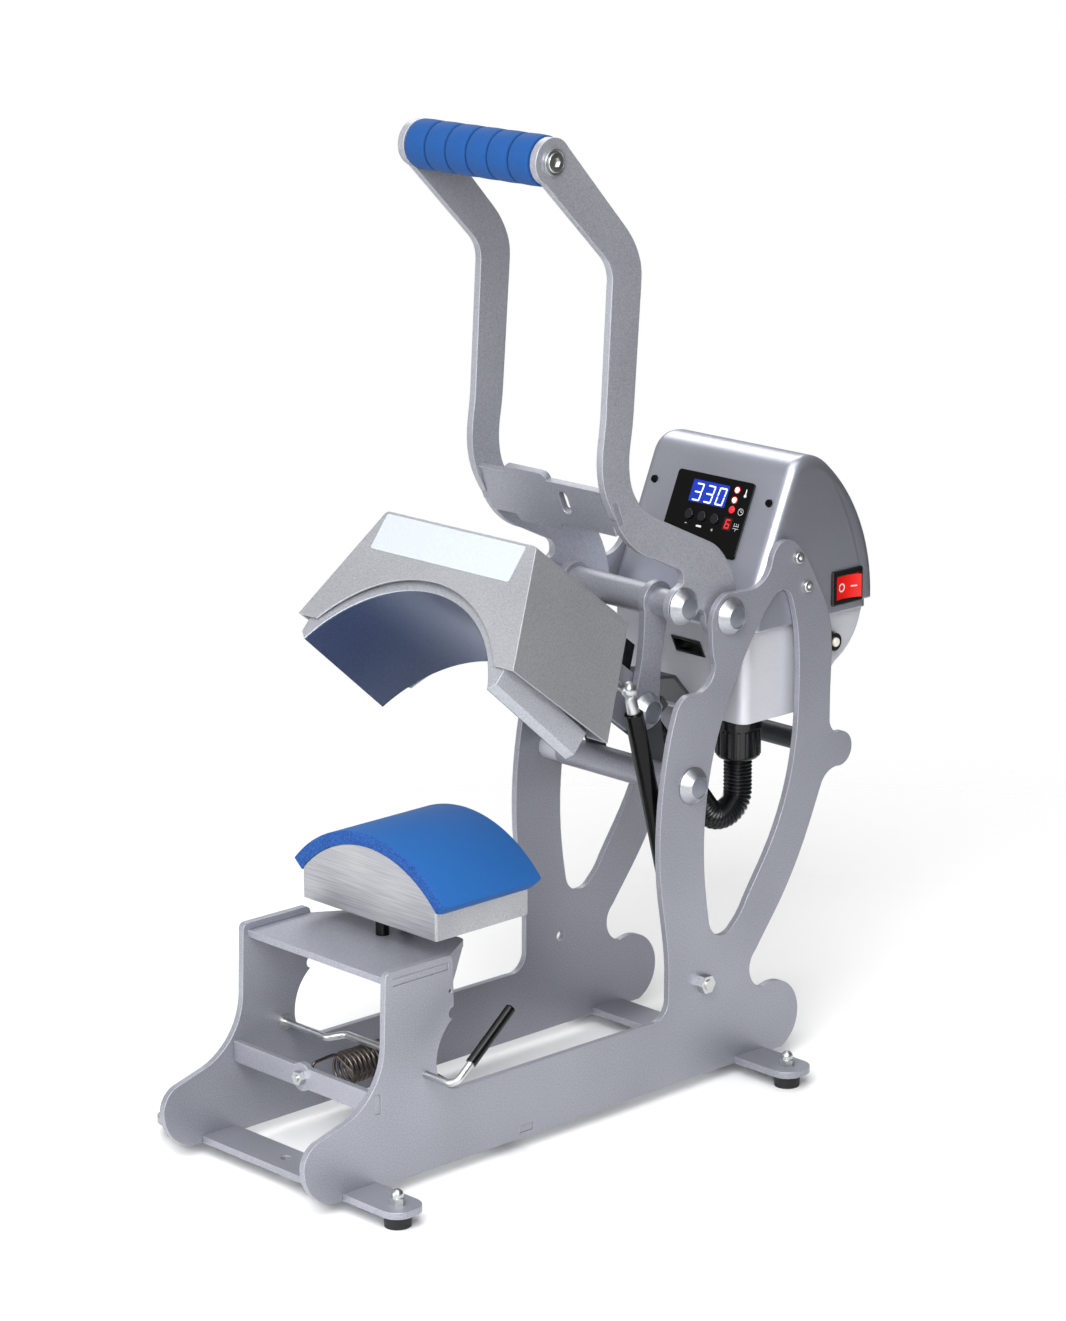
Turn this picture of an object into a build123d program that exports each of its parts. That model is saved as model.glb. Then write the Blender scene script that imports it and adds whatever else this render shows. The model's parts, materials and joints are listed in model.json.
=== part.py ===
from build123d import *
from math import asin, atan2, cos, degrees, hypot, radians, sin
import os

# Cap heat press, open. +Z is up, +X is to the right seen from the front, and
# the head faces -Y. Stations along Y are measured from the front edge of the
# table, and heights from the top of the two foot bars. The reference point of
# the part is the middle of its footprint at the bottom of the feet.
table_to_middle = 208.7
feet_height = 11
bar_thickness = 5
floor_to_bars = feet_height + bar_thickness

# Running and fitting clearances
pivot_clearance = 0.05
slot_clearance = 0.6
soft_gap = 0.3
screw_clearance = 0.2

# Side plates
plate_thickness = 5
plate_inside = 75
plate_outside = plate_inside + plate_thickness
tab_recess = 0.3
tab_end = plate_outside - tab_recess
rail_top = 50
tower_top = 152

# Pivots of the toggle linkage, as station and height
handle_pivot_y, handle_pivot_z = 341.0, 348.5
arm_shaft_y, arm_shaft_z = 301.6, 225.7
crank_radius = 44.1
link_length = 83.0
crank_angle = 162.6
link_angle = 261.4
handle_swing = 56.7
pin_diameter = 12
link_pin_diameter = 10
cap_diameter = 28.6
cap_flat = 17.5
cap_height = 8
cap_seat = 4

# Head, drawn level in its own frame and laid back about the arm shaft
head_lay_back = 37.7
shaft_behind_face = 252.1
shaft_above_edge = 24.0
shroud_depth = 116
shroud_height = 92.8
shroud_top_half = 79.2
shroud_foot_half = 114.6
shroud_sheet = 1.5
shroud_arch_radius = 116.6
shroud_arch_apex = 48.5

# Heat platen, level only when the head is closed
platen_lay_back = 41.4
platen_depth = 100.3
platen_inner_radius = 110.3
platen_apex = 41.3
platen_crown = 52.3
platen_tip_drop = 17.6
platen_side_half = 103.8
platen_side_foot = -12.3
platen_side_top = 6
platen_edge_break = 0.8

# Lower platen and its silicone pad
block_half = 72.5
block_front = 51
block_rear = 141
block_bottom = 161
arch_centre_z = 117
arch_radius = 97.7
pad_thickness = 10.2
pad_front = 50
pad_rear = 146
pad_half_angle = 49.3
pad_corner = 8

# Head arm
channel_half = 34
channel_wall = 4
bracket_thickness = 5
arm_underside = 38.7
arm_top = 76.5
arm_ear_radius = 20
link_inside = 40.4
link_thickness = 6
link_outside = link_inside + link_thickness

# Handle
arm_inside = 65.5
arm_thickness = 6
arm_outside = arm_inside + arm_thickness
grip_y, grip_z = 169.1, 702.4
grip_tube_diameter = 25
foam_diameter = 36

# Gas strut, in a plane beside the head arm
strut_x = 62
strut_foot_y, strut_foot_z = 314.3, 68
strut_tube_diameter = 14.3
strut_tube_length = 150
strut_rod_diameter = 6
strut_bore_diameter = 8.8
ball_along_head = 164.6
ball_above_edge = 57.5
ball_diameter = 10
socket_diameter = 13.6
ferrule_diameter = 10.4

# Table
table_top = 146.5
table_thickness = 5
table_square_depth = 58
table_depth = 99
table_rear_half = 49

# Foot bars
bar_half = 136
bar_width = 32
front_bar_y = -31
rear_bar_y = 365
bar_corner = 13
foot_inset = 16
foot_x = bar_half - foot_inset
foot_diameter = 21
bolt_diameter = 6

# Control housing
housing_gap = 0.4
housing_half = plate_inside - housing_gap
lower_inset = 4.6
lower_half = housing_half - lower_inset
seam_z = 328
lower_bottom = 257
face_tilt = 23.5
face_y, face_z = 402.5, 421.2
housing_wall = 2.5
housing_round = 9
lower_round = 8

# Spring and lever under the table
spring_z = 53.3
spring_front, spring_rear = 22.8, 64
spring_radius = 12
spring_wire = 2.4
lever_y, lever_z = 33, 68
lever_diameter = 5.6
lever_arm_x = 110
lever_angle = 39
lever_length = 69
lever_grip_start = 20
lever_grip_diameter = 8

# Conduit
conduit_diameter = 22.4
conduit_x = 22
gland_y = 411
gland_diameter = 37

os.makedirs("parts", exist_ok=True)


def side_plane(x):
    # Profile seen from the right: station across, height up, extruded to +X
    return Plane(origin=(x, -table_to_middle, floor_to_bars), x_dir=(0, 1, 0), z_dir=(1, 0, 0))


def front_plane(y):
    # Profile seen from the front, extruded towards the front
    return Plane(origin=(0, y - table_to_middle, floor_to_bars), x_dir=(1, 0, 0), z_dir=(0, -1, 0))


def level_plane(z):
    return Plane(origin=(0, -table_to_middle, floor_to_bars + z))


def place(x, y, z):
    return Vector(x, y - table_to_middle, z + floor_to_bars)


head_cos = cos(radians(head_lay_back))
head_sin = sin(radians(head_lay_back))
head_y = arm_shaft_y - shaft_behind_face * head_cos - shaft_above_edge * head_sin
head_z = arm_shaft_z + shaft_behind_face * head_sin - shaft_above_edge * head_cos


def head_place(x, along, up):
    y = head_y + along * head_cos + up * head_sin
    z = head_z - along * head_sin + up * head_cos
    return place(x, y, z)


def head_side(x):
    # Side profile of the head: depth behind its face across, height up
    return Plane(origin=head_place(x, 0, 0), x_dir=(0, head_cos, -head_sin), z_dir=(1, 0, 0))


def head_front(along):
    return Plane(origin=head_place(0, along, 0), x_dir=(1, 0, 0), z_dir=(0, -head_cos, head_sin))


def head_level(up):
    return Plane(origin=head_place(0, 0, up), x_dir=(1, 0, 0), z_dir=(0, head_sin, head_cos))


def polar(y, z, length, angle):
    return y + length * cos(radians(angle)), z + length * sin(radians(angle))


toggle_y, toggle_z = polar(handle_pivot_y, handle_pivot_z, crank_radius, crank_angle)
toggle_closed_y, toggle_closed_z = polar(
    handle_pivot_y, handle_pivot_z, crank_radius, crank_angle + handle_swing
)
link_foot_y, link_foot_z = polar(toggle_y, toggle_z, link_length, link_angle)

# ---------------------------------------------------------------- side plates
table_tab = (3, 55)
spring_bar_front, spring_bar_rear = -15.5, -10.5
spring_bar_bottom, spring_bar_top = 50.5, 64.6
tie_front, tie_rear = 124, 137
tie_bottom, tie_top = -0.8, 4.4
nub_y, nub_z = 462, 221
nub_bar_diameter = 17
housing_screws = ((414, 380.8), (424.1, 357))
notch_radius = cap_diameter / 2 + 2.4
tower_hole_y, tower_hole_z = 56.7, 125
tower_hole_diameter = 3

with BuildPart() as side_plate_right:
    with BuildSketch(side_plane(plate_inside)):
        with BuildLine():
            # front lobe and the front tower
            ThreePointArc((-55, -5), (-74.5, 6), (-81.6, 24))
            ThreePointArc((-81.6, 24), (-78, 37), (-66, 44.3))
            Line((-66, 44.3), (-42, 51))
            ThreePointArc((-42, 51), (-17.5, 68), (-6, 99))
            Line((-6, 99), (-4.2, 147.5))
            ThreePointArc((-4.2, 147.5), (-2.8, 150.8), (0.4, tower_top))
            Line((0.4, tower_top), (55, 151.6))
            ThreePointArc((55, 151.6), (58.4, 150.1), (59.8, 147))
            Line((59.8, 147), (60.1, 112.6))
            ThreePointArc((60.1, 112.6), (55.4, 108.6), (58.6, 103.6))
            ThreePointArc((58.6, 103.6), (47.5, 91), (43, 74))
            # rail and the front edge of the rear tower
            ThreePointArc((43, 74), (48.5, 57.5), (64, rail_top))
            Line((64, rail_top), (260, 48.8))
            ThreePointArc((260, 48.8), (272.4, 52.4), (277.4, 64))
            Line((277.4, 64), (277.6, 89))
            Spline(
                (277.6, 89),
                (269.4, 150),
                (271.8, 233),
                (284.4, 283),
                tangents=((-0.05, 1), (0.36, 0.93)),
            )
            ThreePointArc((284.4, 283), (288.4, 290.6), (296.6, 295.4))
            Line((296.6, 295.4), (305, 295.4))
            ThreePointArc((305, 295.4), (319.6, 300.4), (325.2, 314))
            # ear round the handle pivot and the top of the rear tower
            ThreePointArc((325.2, 314), (322.6, 326.6), (321.8, 339))
            ThreePointArc((321.8, 339), (325, 356.4), (338, 366.2))
            Line((338, 366.2), (364, 364.6))
            ThreePointArc((364, 364.6), (379, 370.6), (386.6, 385))
            ThreePointArc((386.6, 385), (399, 396.2), (412, 392.6))
            Spline(
                (412, 392.6),
                (431, 367.6),
                (450, 328),
                (451.8, 277),
                (451.4, 249),
                tangents=((0.8, -0.6), (0, -1)),
            )
            ThreePointArc((451.4, 249), (453.2, 241), (460, 235.4))
            ThreePointArc((460, 235.4), (476.8, 222.6), (460, 208.6))
            ThreePointArc((460, 208.6), (449.6, 205.6), (443, 198.4))
            Spline(
                (443, 198.4),
                (423.8, 156.3),
                (397, 113),
                (371.5, 80.8),
                tangents=((-0.4, -0.9), (-0.6, -0.8)),
            )
            ThreePointArc((371.5, 80.8), (365.5, 62), (380, 49.2))
            # rear lobe and the underside
            ThreePointArc((380, 49.2), (418.6, 27.5), (401, -5))
            Line((401, -5), (-55, -5))
        make_face()
        # leaf-shaped opening of the rear tower
        with BuildLine():
            Spline(
                (361, 123.6),
                (386, 160),
                (411.4, 223.3),
                (416.9, 287),
                (408, 351),
                tangents=((0.55, 0.83), (-0.35, 0.94)),
            )
            ThreePointArc((408, 351), (399, 358.6), (387, 354.8))
            Spline(
                (387, 354.8),
                (358.6, 317.6),
                (325, 248),
                (314.4, 173),
                (320.4, 114),
                tangents=((-0.7, -0.7), (0.18, -0.98)),
            )
            ThreePointArc((320.4, 114), (331, 102), (347, 106.6))
            ThreePointArc((347, 106.6), (354.6, 114), (361, 123.6))
        make_face(mode=Mode.SUBTRACT)
        # slots for the table, the spring bar and the tie plate
        with Locations(((table_tab[0] + table_tab[1]) / 2, table_top - table_thickness / 2)):
            Rectangle(
                table_tab[1] - table_tab[0] + slot_clearance,
                table_thickness + slot_clearance,
                mode=Mode.SUBTRACT,
            )
        with Locations(
            ((spring_bar_front + spring_bar_rear) / 2, (spring_bar_bottom + spring_bar_top) / 2)
        ):
            Rectangle(
                spring_bar_rear - spring_bar_front + slot_clearance,
                spring_bar_top - spring_bar_bottom + slot_clearance,
                mode=Mode.SUBTRACT,
            )
        with Locations(((tie_front + tie_rear) / 2, (tie_bottom + tie_top) / 2)):
            Rectangle(
                tie_rear - tie_front + slot_clearance,
                tie_top - tie_bottom + slot_clearance,
                mode=Mode.SUBTRACT,
            )
        # notches that sit over the two foot bars
        with Locations((front_bar_y, -bar_thickness / 2), (rear_bar_y, -bar_thickness / 2)):
            Rectangle(bar_width + slot_clearance, bar_thickness, mode=Mode.SUBTRACT)
        # bores
        with Locations((handle_pivot_y, handle_pivot_z), (arm_shaft_y, arm_shaft_z)):
            Circle(pin_diameter / 2, mode=Mode.SUBTRACT)
        with Locations((lever_y, lever_z)):
            Circle(lever_diameter / 2 + pivot_clearance, mode=Mode.SUBTRACT)
        with Locations((strut_foot_y, strut_foot_z)):
            Circle(4, mode=Mode.SUBTRACT)
        with Locations(*housing_screws):
            Circle(2.5, mode=Mode.SUBTRACT)
        with Locations((tower_hole_y, tower_hole_z)):
            Circle(tower_hole_diameter / 2, mode=Mode.SUBTRACT)
    extrude(amount=plate_thickness)
side_plate_right.part.label = "side_plate_right"
export_step(side_plate_right.part, "parts/side_plate_right.step")

with BuildPart() as side_plate_left:
    mirror(side_plate_right.part, about=Plane.YZ)
side_plate_left.part.label = "side_plate_left"
export_step(side_plate_left.part, "parts/side_plate_left.step")

# ------------------------------------------------- table, bars and tie plates
post_stations = (64, 88)
post_diameter = 10
post_stud = 6
flange_drop = 20.5
flange_length = 44
taper_run = table_depth - table_square_depth
taper_side = plate_inside - table_rear_half
taper_length = hypot(taper_run, taper_side)

with BuildPart() as table_plate:
    with BuildSketch(level_plane(table_top - table_thickness)):
        with BuildLine():
            Polyline(
                (-plate_inside, 0),
                (plate_inside, 0),
                (plate_inside, table_square_depth),
                (table_rear_half, table_depth),
                (-table_rear_half, table_depth),
                (-plate_inside, table_square_depth),
                close=True,
            )
        make_face()
        fillet(vertices().group_by(Axis.Y)[-1], radius=6)
        with Locations((0, (table_tab[0] + table_tab[1]) / 2)):
            Rectangle(2 * tab_end, table_tab[1] - table_tab[0])
        with Locations(*[(0, y) for y in post_stations]):
            Circle(post_stud / 2 + screw_clearance, mode=Mode.SUBTRACT)
    extrude(amount=table_thickness)
    # bent-down flange along the tapered edge of each side
    flange_foot = place(plate_inside, table_square_depth, table_top - table_thickness)
    with BuildSketch(
        Plane(
            origin=flange_foot,
            x_dir=(-taper_side, taper_run, 0),
            z_dir=(taper_run, taper_side, 0),
        )
    ):
        Polygon(
            (1, 0),
            (flange_length, 0),
            (13, -flange_drop),
            (5, -flange_drop),
            (1, -flange_drop + 4),
            align=None,
        )
    extrude(amount=-table_thickness * 0.7)
    mirror(about=Plane.YZ)
table_plate.part.label = "table_plate"
export_step(table_plate.part, "parts/table_plate.step")

post_gap = block_bottom - table_top
post_nut = 4
with BuildPart() as platen_posts:
    for station in post_stations:
        with BuildSketch(level_plane(table_top)):
            with Locations((0, station)):
                Circle(post_diameter / 2)
        extrude(amount=post_gap)
        with BuildSketch(level_plane(table_top)):
            with Locations((0, station)):
                Circle(post_stud / 2)
        extrude(amount=-table_thickness - post_nut - 2)
    with BuildSketch(level_plane(table_top - table_thickness)):
        with Locations(*[(0, y) for y in post_stations]):
            RegularPolygon(5.8, 6)
    extrude(amount=-post_nut)
platen_posts.part.label = "platen_posts"
export_step(platen_posts.part, "parts/platen_posts.step")


with BuildPart() as foot_bars:
    with BuildSketch(level_plane(-bar_thickness)):
        with Locations((0, front_bar_y), (0, rear_bar_y)):
            RectangleRounded(2 * bar_half, bar_width, bar_corner)
            with GridLocations(2 * foot_x, 1, 2, 1):
                Circle(bolt_diameter / 2 + screw_clearance, mode=Mode.SUBTRACT)
        with Locations((0, front_bar_y)):
            Circle(4, mode=Mode.SUBTRACT)
    extrude(amount=bar_thickness)
foot_bars.part.label = "foot_bars"
export_step(foot_bars.part, "parts/foot_bars.step")

foot_corners = [(x, y) for x in (-foot_x, foot_x) for y in (front_bar_y, rear_bar_y)]
bolt_reach = 6
nut_flats = 10
nut_height = 5

with BuildPart() as rubber_feet:
    with BuildSketch(level_plane(-bar_thickness)):
        with Locations(*foot_corners):
            Circle(foot_diameter / 2)
    extrude(amount=-feet_height, taper=5)
    with BuildSketch(level_plane(-bar_thickness)):
        with Locations(*foot_corners):
            Circle(bolt_diameter / 2)
    extrude(amount=-bolt_reach, mode=Mode.SUBTRACT)
rubber_feet.part.label = "rubber_feet"
export_step(rubber_feet.part, "parts/rubber_feet.step")

with BuildPart() as acorn_nuts:
    with BuildSketch(level_plane(0)):
        with Locations(*foot_corners):
            RegularPolygon(nut_flats / 2, 6, major_radius=False)
    extrude(amount=nut_height)
    with BuildSketch(level_plane(nut_height)):
        with Locations(*foot_corners):
            Circle(4.4)
    extrude(amount=2)
    for corner_x, corner_y in foot_corners:
        with Locations(place(corner_x, corner_y, nut_height + 2)):
            Sphere(4.4)
    with BuildSketch(level_plane(0)):
        with Locations(*foot_corners):
            Circle(bolt_diameter / 2)
    extrude(amount=-bar_thickness - bolt_reach)
acorn_nuts.part.label = "acorn_nuts"
export_step(acorn_nuts.part, "parts/acorn_nuts.step")

with BuildPart() as mid_tie_plate:
    with BuildSketch(level_plane(tie_bottom)):
        with Locations((0, (tie_front + tie_rear) / 2)):
            Rectangle(2 * plate_inside, tie_rear - tie_front + 8)
            Rectangle(2 * tab_end, tie_rear - tie_front)
            Circle(2, mode=Mode.SUBTRACT)
    extrude(amount=tie_top - tie_bottom)
mid_tie_plate.part.label = "mid_tie_plate"
export_step(mid_tie_plate.part, "parts/mid_tie_plate.step")

boss_radius = 10.5
bar_shoulder = 0.8
hook_diameter = 5
spring_bar_middle = (spring_bar_bottom + spring_bar_top) / 2
with BuildPart() as spring_crossbar:
    with BuildSketch(front_plane(spring_bar_rear)):
        with Locations((0, spring_bar_middle)):
            Rectangle(2 * plate_inside, spring_bar_top - spring_bar_bottom + 2 * bar_shoulder)
            Rectangle(2 * tab_end, spring_bar_top - spring_bar_bottom)
            Circle(boss_radius)
            Circle(hook_diameter / 2 + screw_clearance, mode=Mode.SUBTRACT)
    extrude(amount=spring_bar_rear - spring_bar_front)
    fillet(
        edges().filter_by(Axis.Y).filter_by(lambda e: 5 < abs(e.center().X) < 20), radius=3
    )
spring_crossbar.part.label = "spring_crossbar"
export_step(spring_crossbar.part, "parts/spring_crossbar.step")

# ------------------------------------------------------- spring, hook, lever
hook_nut_height = 4.5
hook_thread_end = 1.5
eye_y = -4.5
eye_outer_radius = 4.6
eye_hole_radius = 2.4
eye_thickness = 4
with BuildPart() as spring_hook_bolt:
    with BuildSketch(front_plane(eye_y)):
        with Locations((0, spring_bar_middle)):
            Circle(hook_diameter / 2)
    extrude(amount=eye_y - spring_bar_front + hook_nut_height + hook_thread_end)
    with BuildSketch(front_plane(spring_bar_front)):
        with Locations((0, spring_bar_middle)):
            RegularPolygon(4.6, 6, major_radius=False)
    extrude(amount=hook_nut_height)
    # eye behind the bar, lying level
    with BuildSketch(level_plane(spring_bar_middle)):
        with Locations((0, eye_y)):
            Circle(eye_outer_radius)
    extrude(amount=eye_thickness / 2, both=True)
    with BuildSketch(level_plane(spring_bar_middle)):
        with Locations((0, eye_y)):
            Circle(eye_hole_radius)
    extrude(amount=eye_thickness, both=True, mode=Mode.SUBTRACT)
spring_hook_bolt.part.label = "spring_hook_bolt"
export_step(spring_hook_bolt.part, "parts/spring_hook_bolt.step")

spring_turns = 9.5
spring_coil_length = spring_rear - spring_front
first_top_turn = 0.25
tail_diameter = 3
hook_drop = 5
with BuildPart() as hold_down_spring:
    with BuildLine() as coil:
        Helix(
            pitch=spring_coil_length / spring_turns,
            height=spring_coil_length,
            radius=spring_radius,
            center=place(0, spring_front, spring_z),
            direction=(0, 1, 0),
        )
    with BuildSketch(Plane(origin=coil.wire() @ 0, z_dir=coil.wire() % 0)):
        Circle(spring_wire / 2)
    sweep(is_frenet=True)

    # front hook, from the top of the first turn down through the eye
    with BuildLine() as hook:
        FilletPolyline(
            coil.wire() @ (first_top_turn / spring_turns),
            place(0, spring_front - 6, spring_z + spring_radius + 1.4),
            place(0, eye_y, spring_bar_middle + 7.5),
            place(0, eye_y, spring_bar_middle - hook_drop),
            radius=3.6,
        )
    with BuildSketch(Plane(origin=hook.wire() @ 0, z_dir=hook.wire() % 0)):
        Circle(spring_wire / 2)
    sweep()

    # hooked wire from the back of the coil down to the tie plate
    with BuildLine() as tail:
        FilletPolyline(
            place(0, spring_rear - 8, spring_z),
            place(0, spring_rear + 12, spring_z),
            place(0, (tie_front + tie_rear) / 2, 14),
            place(0, (tie_front + tie_rear) / 2, tie_bottom - 3),
            radius=6,
        )
    with BuildSketch(Plane(origin=tail.wire() @ 0, z_dir=tail.wire() % 0)):
        Circle(tail_diameter / 2)
    sweep()
    with Locations(place(0, spring_rear + 1.2, spring_z)):
        Cylinder(spring_radius, spring_wire, rotation=(90, 0, 0))
hold_down_spring.part.label = "hold_down_spring"
export_step(hold_down_spring.part, "parts/hold_down_spring.step")

throw_left, throw_right = -22, 64
throw_offset = 9
throw_rise = 3
throw_slant = 5
lever_bend = 8
nut_gap = 0.15
nut_thickness = 1.4
push_nut_radius = 6
lever_left_end = plate_outside + 2
arm_cos = cos(radians(lever_angle))
arm_sin = sin(radians(lever_angle))
with BuildPart() as hold_down_lever:
    with BuildLine() as lever_path:
        FilletPolyline(
            place(-lever_left_end, lever_y, lever_z),
            place(throw_left - throw_slant, lever_y, lever_z),
            place(throw_left + throw_slant, lever_y + throw_offset, lever_z + throw_rise),
            place(throw_right - throw_slant, lever_y + throw_offset, lever_z + throw_rise),
            place(throw_right + throw_slant, lever_y, lever_z),
            place(lever_arm_x, lever_y, lever_z),
            place(
                lever_arm_x,
                lever_y + lever_length * arm_cos,
                lever_z + lever_length * arm_sin,
            ),
            radius=lever_bend,
        )
    with BuildSketch(Plane(origin=lever_path.wire() @ 0, z_dir=(1, 0, 0))):
        Circle(lever_diameter / 2)
    sweep()
    # push-on nut inside the left plate
    with BuildSketch(side_plane(nut_gap - plate_inside)):
        with Locations((lever_y, lever_z)):
            Circle(push_nut_radius)
    extrude(amount=nut_thickness)
hold_down_lever.part.label = "hold_down_lever"
export_step(hold_down_lever.part, "parts/hold_down_lever.step")

grip_wall_end = 2
with BuildPart() as lever_grip:
    grip_foot = place(
        lever_arm_x,
        lever_y + lever_grip_start * arm_cos,
        lever_z + lever_grip_start * arm_sin,
    )
    with BuildSketch(Plane(origin=grip_foot, z_dir=(0, arm_cos, arm_sin))):
        Circle(lever_grip_diameter / 2)
    extrude(amount=lever_length - lever_grip_start + grip_wall_end)
    fillet(faces().sort_by(Axis.Z)[-1].edges(), radius=1.5)
    with BuildSketch(Plane(origin=grip_foot, z_dir=(0, arm_cos, arm_sin))):
        Circle(lever_diameter / 2)
    extrude(amount=lever_length - lever_grip_start, mode=Mode.SUBTRACT)
lever_grip.part.label = "lever_grip"
export_step(lever_grip.part, "parts/lever_grip.step")


# -------------------------------------------------------------- rear tie bar
with BuildPart() as rear_tie_bar:
    with BuildSketch(side_plane(-plate_inside)):
        with Locations((nub_y, nub_z)):
            Circle(nub_bar_diameter / 2)
    extrude(amount=2 * plate_inside)
rear_tie_bar.part.label = "rear_tie_bar"
export_step(rear_tie_bar.part, "parts/rear_tie_bar.step")


def pan_screw(station, height, seat, reach, head_radius, head_height, shank):
    with BuildPart() as screw:
        with BuildSketch(side_plane(seat)):
            with Locations((station, height)):
                Circle(head_radius)
        extrude(amount=head_height)
        fillet(faces().sort_by(Axis.X)[-1].edges(), radius=head_height * 0.45)
        with BuildSketch(side_plane(seat)):
            with Locations((station, height)):
                Circle(shank)
        extrude(amount=-reach)
        with BuildSketch(side_plane(seat + head_height)):
            with Locations((station, height)):
                RegularPolygon(head_radius * 0.42, 6)
        extrude(amount=-head_height * 0.6, mode=Mode.SUBTRACT)
    return screw.part


# ------------------------------------------------------ lower platen and pad
side_height = arch_centre_z + (arch_radius**2 - block_half**2) ** 0.5
with BuildPart() as lower_platen:
    with BuildSketch(front_plane(block_rear)):
        with BuildLine():
            Polyline(
                (-block_half, side_height),
                (-block_half, block_bottom),
                (block_half, block_bottom),
                (block_half, side_height),
            )
            ThreePointArc(
                (block_half, side_height),
                (0, arch_centre_z + arch_radius),
                (-block_half, side_height),
            )
        make_face()
    extrude(amount=block_rear - block_front)
    fillet(edges().filter_by(Axis.Z), radius=2)
lower_platen.part.label = "lower_platen"
export_step(lower_platen.part, "parts/lower_platen.step")


end_across = sin(radians(pad_half_angle))
end_along = cos(radians(pad_half_angle))
pad_inner = arch_radius + soft_gap
pad_outer = pad_inner + pad_thickness
with BuildPart() as platen_pad:
    with BuildSketch(front_plane(pad_rear)):
        with BuildLine():
            ThreePointArc(
                (-pad_inner * end_across, arch_centre_z + pad_inner * end_along),
                (0, arch_centre_z + pad_inner),
                (pad_inner * end_across, arch_centre_z + pad_inner * end_along),
            )
            Line(
                (pad_inner * end_across, arch_centre_z + pad_inner * end_along),
                (pad_outer * end_across, arch_centre_z + pad_outer * end_along),
            )
            ThreePointArc(
                (pad_outer * end_across, arch_centre_z + pad_outer * end_along),
                (0, arch_centre_z + pad_outer),
                (-pad_outer * end_across, arch_centre_z + pad_outer * end_along),
            )
            Line(
                (-pad_outer * end_across, arch_centre_z + pad_outer * end_along),
                (-pad_inner * end_across, arch_centre_z + pad_inner * end_along),
            )
        make_face()
    extrude(amount=pad_rear - pad_front)
    # rounded corners, cut square to the pad at each end of the arc
    middle_radius = arch_radius + soft_gap + pad_thickness / 2
    for side in (-1, 1):
        for end, inward in ((pad_front, 1), (pad_rear, -1)):
            corner = place(
                side * middle_radius * end_across, end, arch_centre_z + middle_radius * end_along
            )
            with BuildSketch(
                Plane(origin=corner, x_dir=(0, 1, 0), z_dir=(side * end_across, 0, end_along))
            ):
                with Locations((inward * pad_corner / 2, side * pad_corner / 2)):
                    Rectangle(pad_corner + 1, pad_corner + 1)
                with Locations((inward * pad_corner, side * pad_corner)):
                    Circle(pad_corner, mode=Mode.SUBTRACT)
            extrude(amount=pad_thickness, both=True, mode=Mode.SUBTRACT)
platen_pad.part.label = "platen_pad"
export_step(platen_pad.part, "parts/platen_pad.step")


# ------------------------------------------------- bevelled caps and pivots
def bevelled_cap(station, height, seat, bore):
    with BuildPart() as cap:
        with BuildSketch(side_plane(seat)):
            with Locations((station, height)):
                Circle(cap_diameter / 2)
        extrude(amount=1.2)
        with BuildSketch(side_plane(seat + 1.2)):
            with Locations((station, height)):
                Circle(cap_diameter / 2)
        with BuildSketch(side_plane(seat + cap_height)):
            with Locations((station, height)):
                Circle(cap_flat / 2)
        loft()
        with BuildSketch(side_plane(seat)):
            with Locations((station, height)):
                Circle(bore / 2)
        extrude(amount=cap_seat, mode=Mode.SUBTRACT)
    return cap.part


boss_half = 55.9
boss_diameter = 22
spacer_diameter = 20
with BuildPart() as arm_shaft:
    with BuildSketch(side_plane(-plate_outside - cap_seat)):
        with Locations((arm_shaft_y, arm_shaft_z)):
            Circle(pin_diameter / 2)
    extrude(amount=2 * (plate_outside + cap_seat))
    with BuildSketch(side_plane(boss_half + 0.1)):
        with Locations((arm_shaft_y, arm_shaft_z)):
            Circle(spacer_diameter / 2)
    extrude(amount=plate_inside - boss_half - 0.1)
    mirror(about=Plane.YZ)
arm_shaft.part.label = "arm_shaft"
export_step(arm_shaft.part, "parts/arm_shaft.step")

pin_head = 3
pin_head_radius = 9
side_play = 0.1
with BuildPart() as handle_pivot_pins:
    with BuildSketch(side_plane(arm_inside - pin_head - side_play)):
        with Locations((handle_pivot_y, handle_pivot_z)):
            Circle(pin_head_radius)
    extrude(amount=pin_head)
    with BuildSketch(side_plane(arm_inside - side_play)):
        with Locations((handle_pivot_y, handle_pivot_z)):
            Circle(pin_diameter / 2)
    extrude(amount=plate_outside + cap_seat - arm_inside + side_play)
    with BuildSketch(side_plane(arm_outside + side_play)):
        with Locations((handle_pivot_y, handle_pivot_z)):
            Circle(pin_head_radius + 1)
    extrude(amount=plate_inside - arm_outside - side_play)
    mirror(about=Plane.YZ)
handle_pivot_pins.part.label = "handle_pivot_pins"
export_step(handle_pivot_pins.part, "parts/handle_pivot_pins.step")

with BuildPart() as pivot_caps:
    add(bevelled_cap(handle_pivot_y, handle_pivot_z, plate_outside, pin_diameter))
    add(bevelled_cap(arm_shaft_y, arm_shaft_z, plate_outside, pin_diameter))
    mirror(about=Plane.YZ)
pivot_caps.part.label = "pivot_caps"
export_step(pivot_caps.part, "parts/pivot_caps.step")

# -------------------------------------------------------------------- handle
cross_front_foot = (226, 456.5)
cross_rear_foot = (238, 427)
cross_thickness = 5
cross_length = hypot(
    cross_rear_foot[0] - cross_front_foot[0], cross_rear_foot[1] - cross_front_foot[1]
)
cross_angle = degrees(
    atan2(cross_front_foot[1] - cross_rear_foot[1], cross_front_foot[0] - cross_rear_foot[0])
)
cross_middle = (
    (cross_front_foot[0] + cross_rear_foot[0]) / 2,
    (cross_front_foot[1] + cross_rear_foot[1]) / 2,
)
tab_length = cross_length * 0.62

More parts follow.
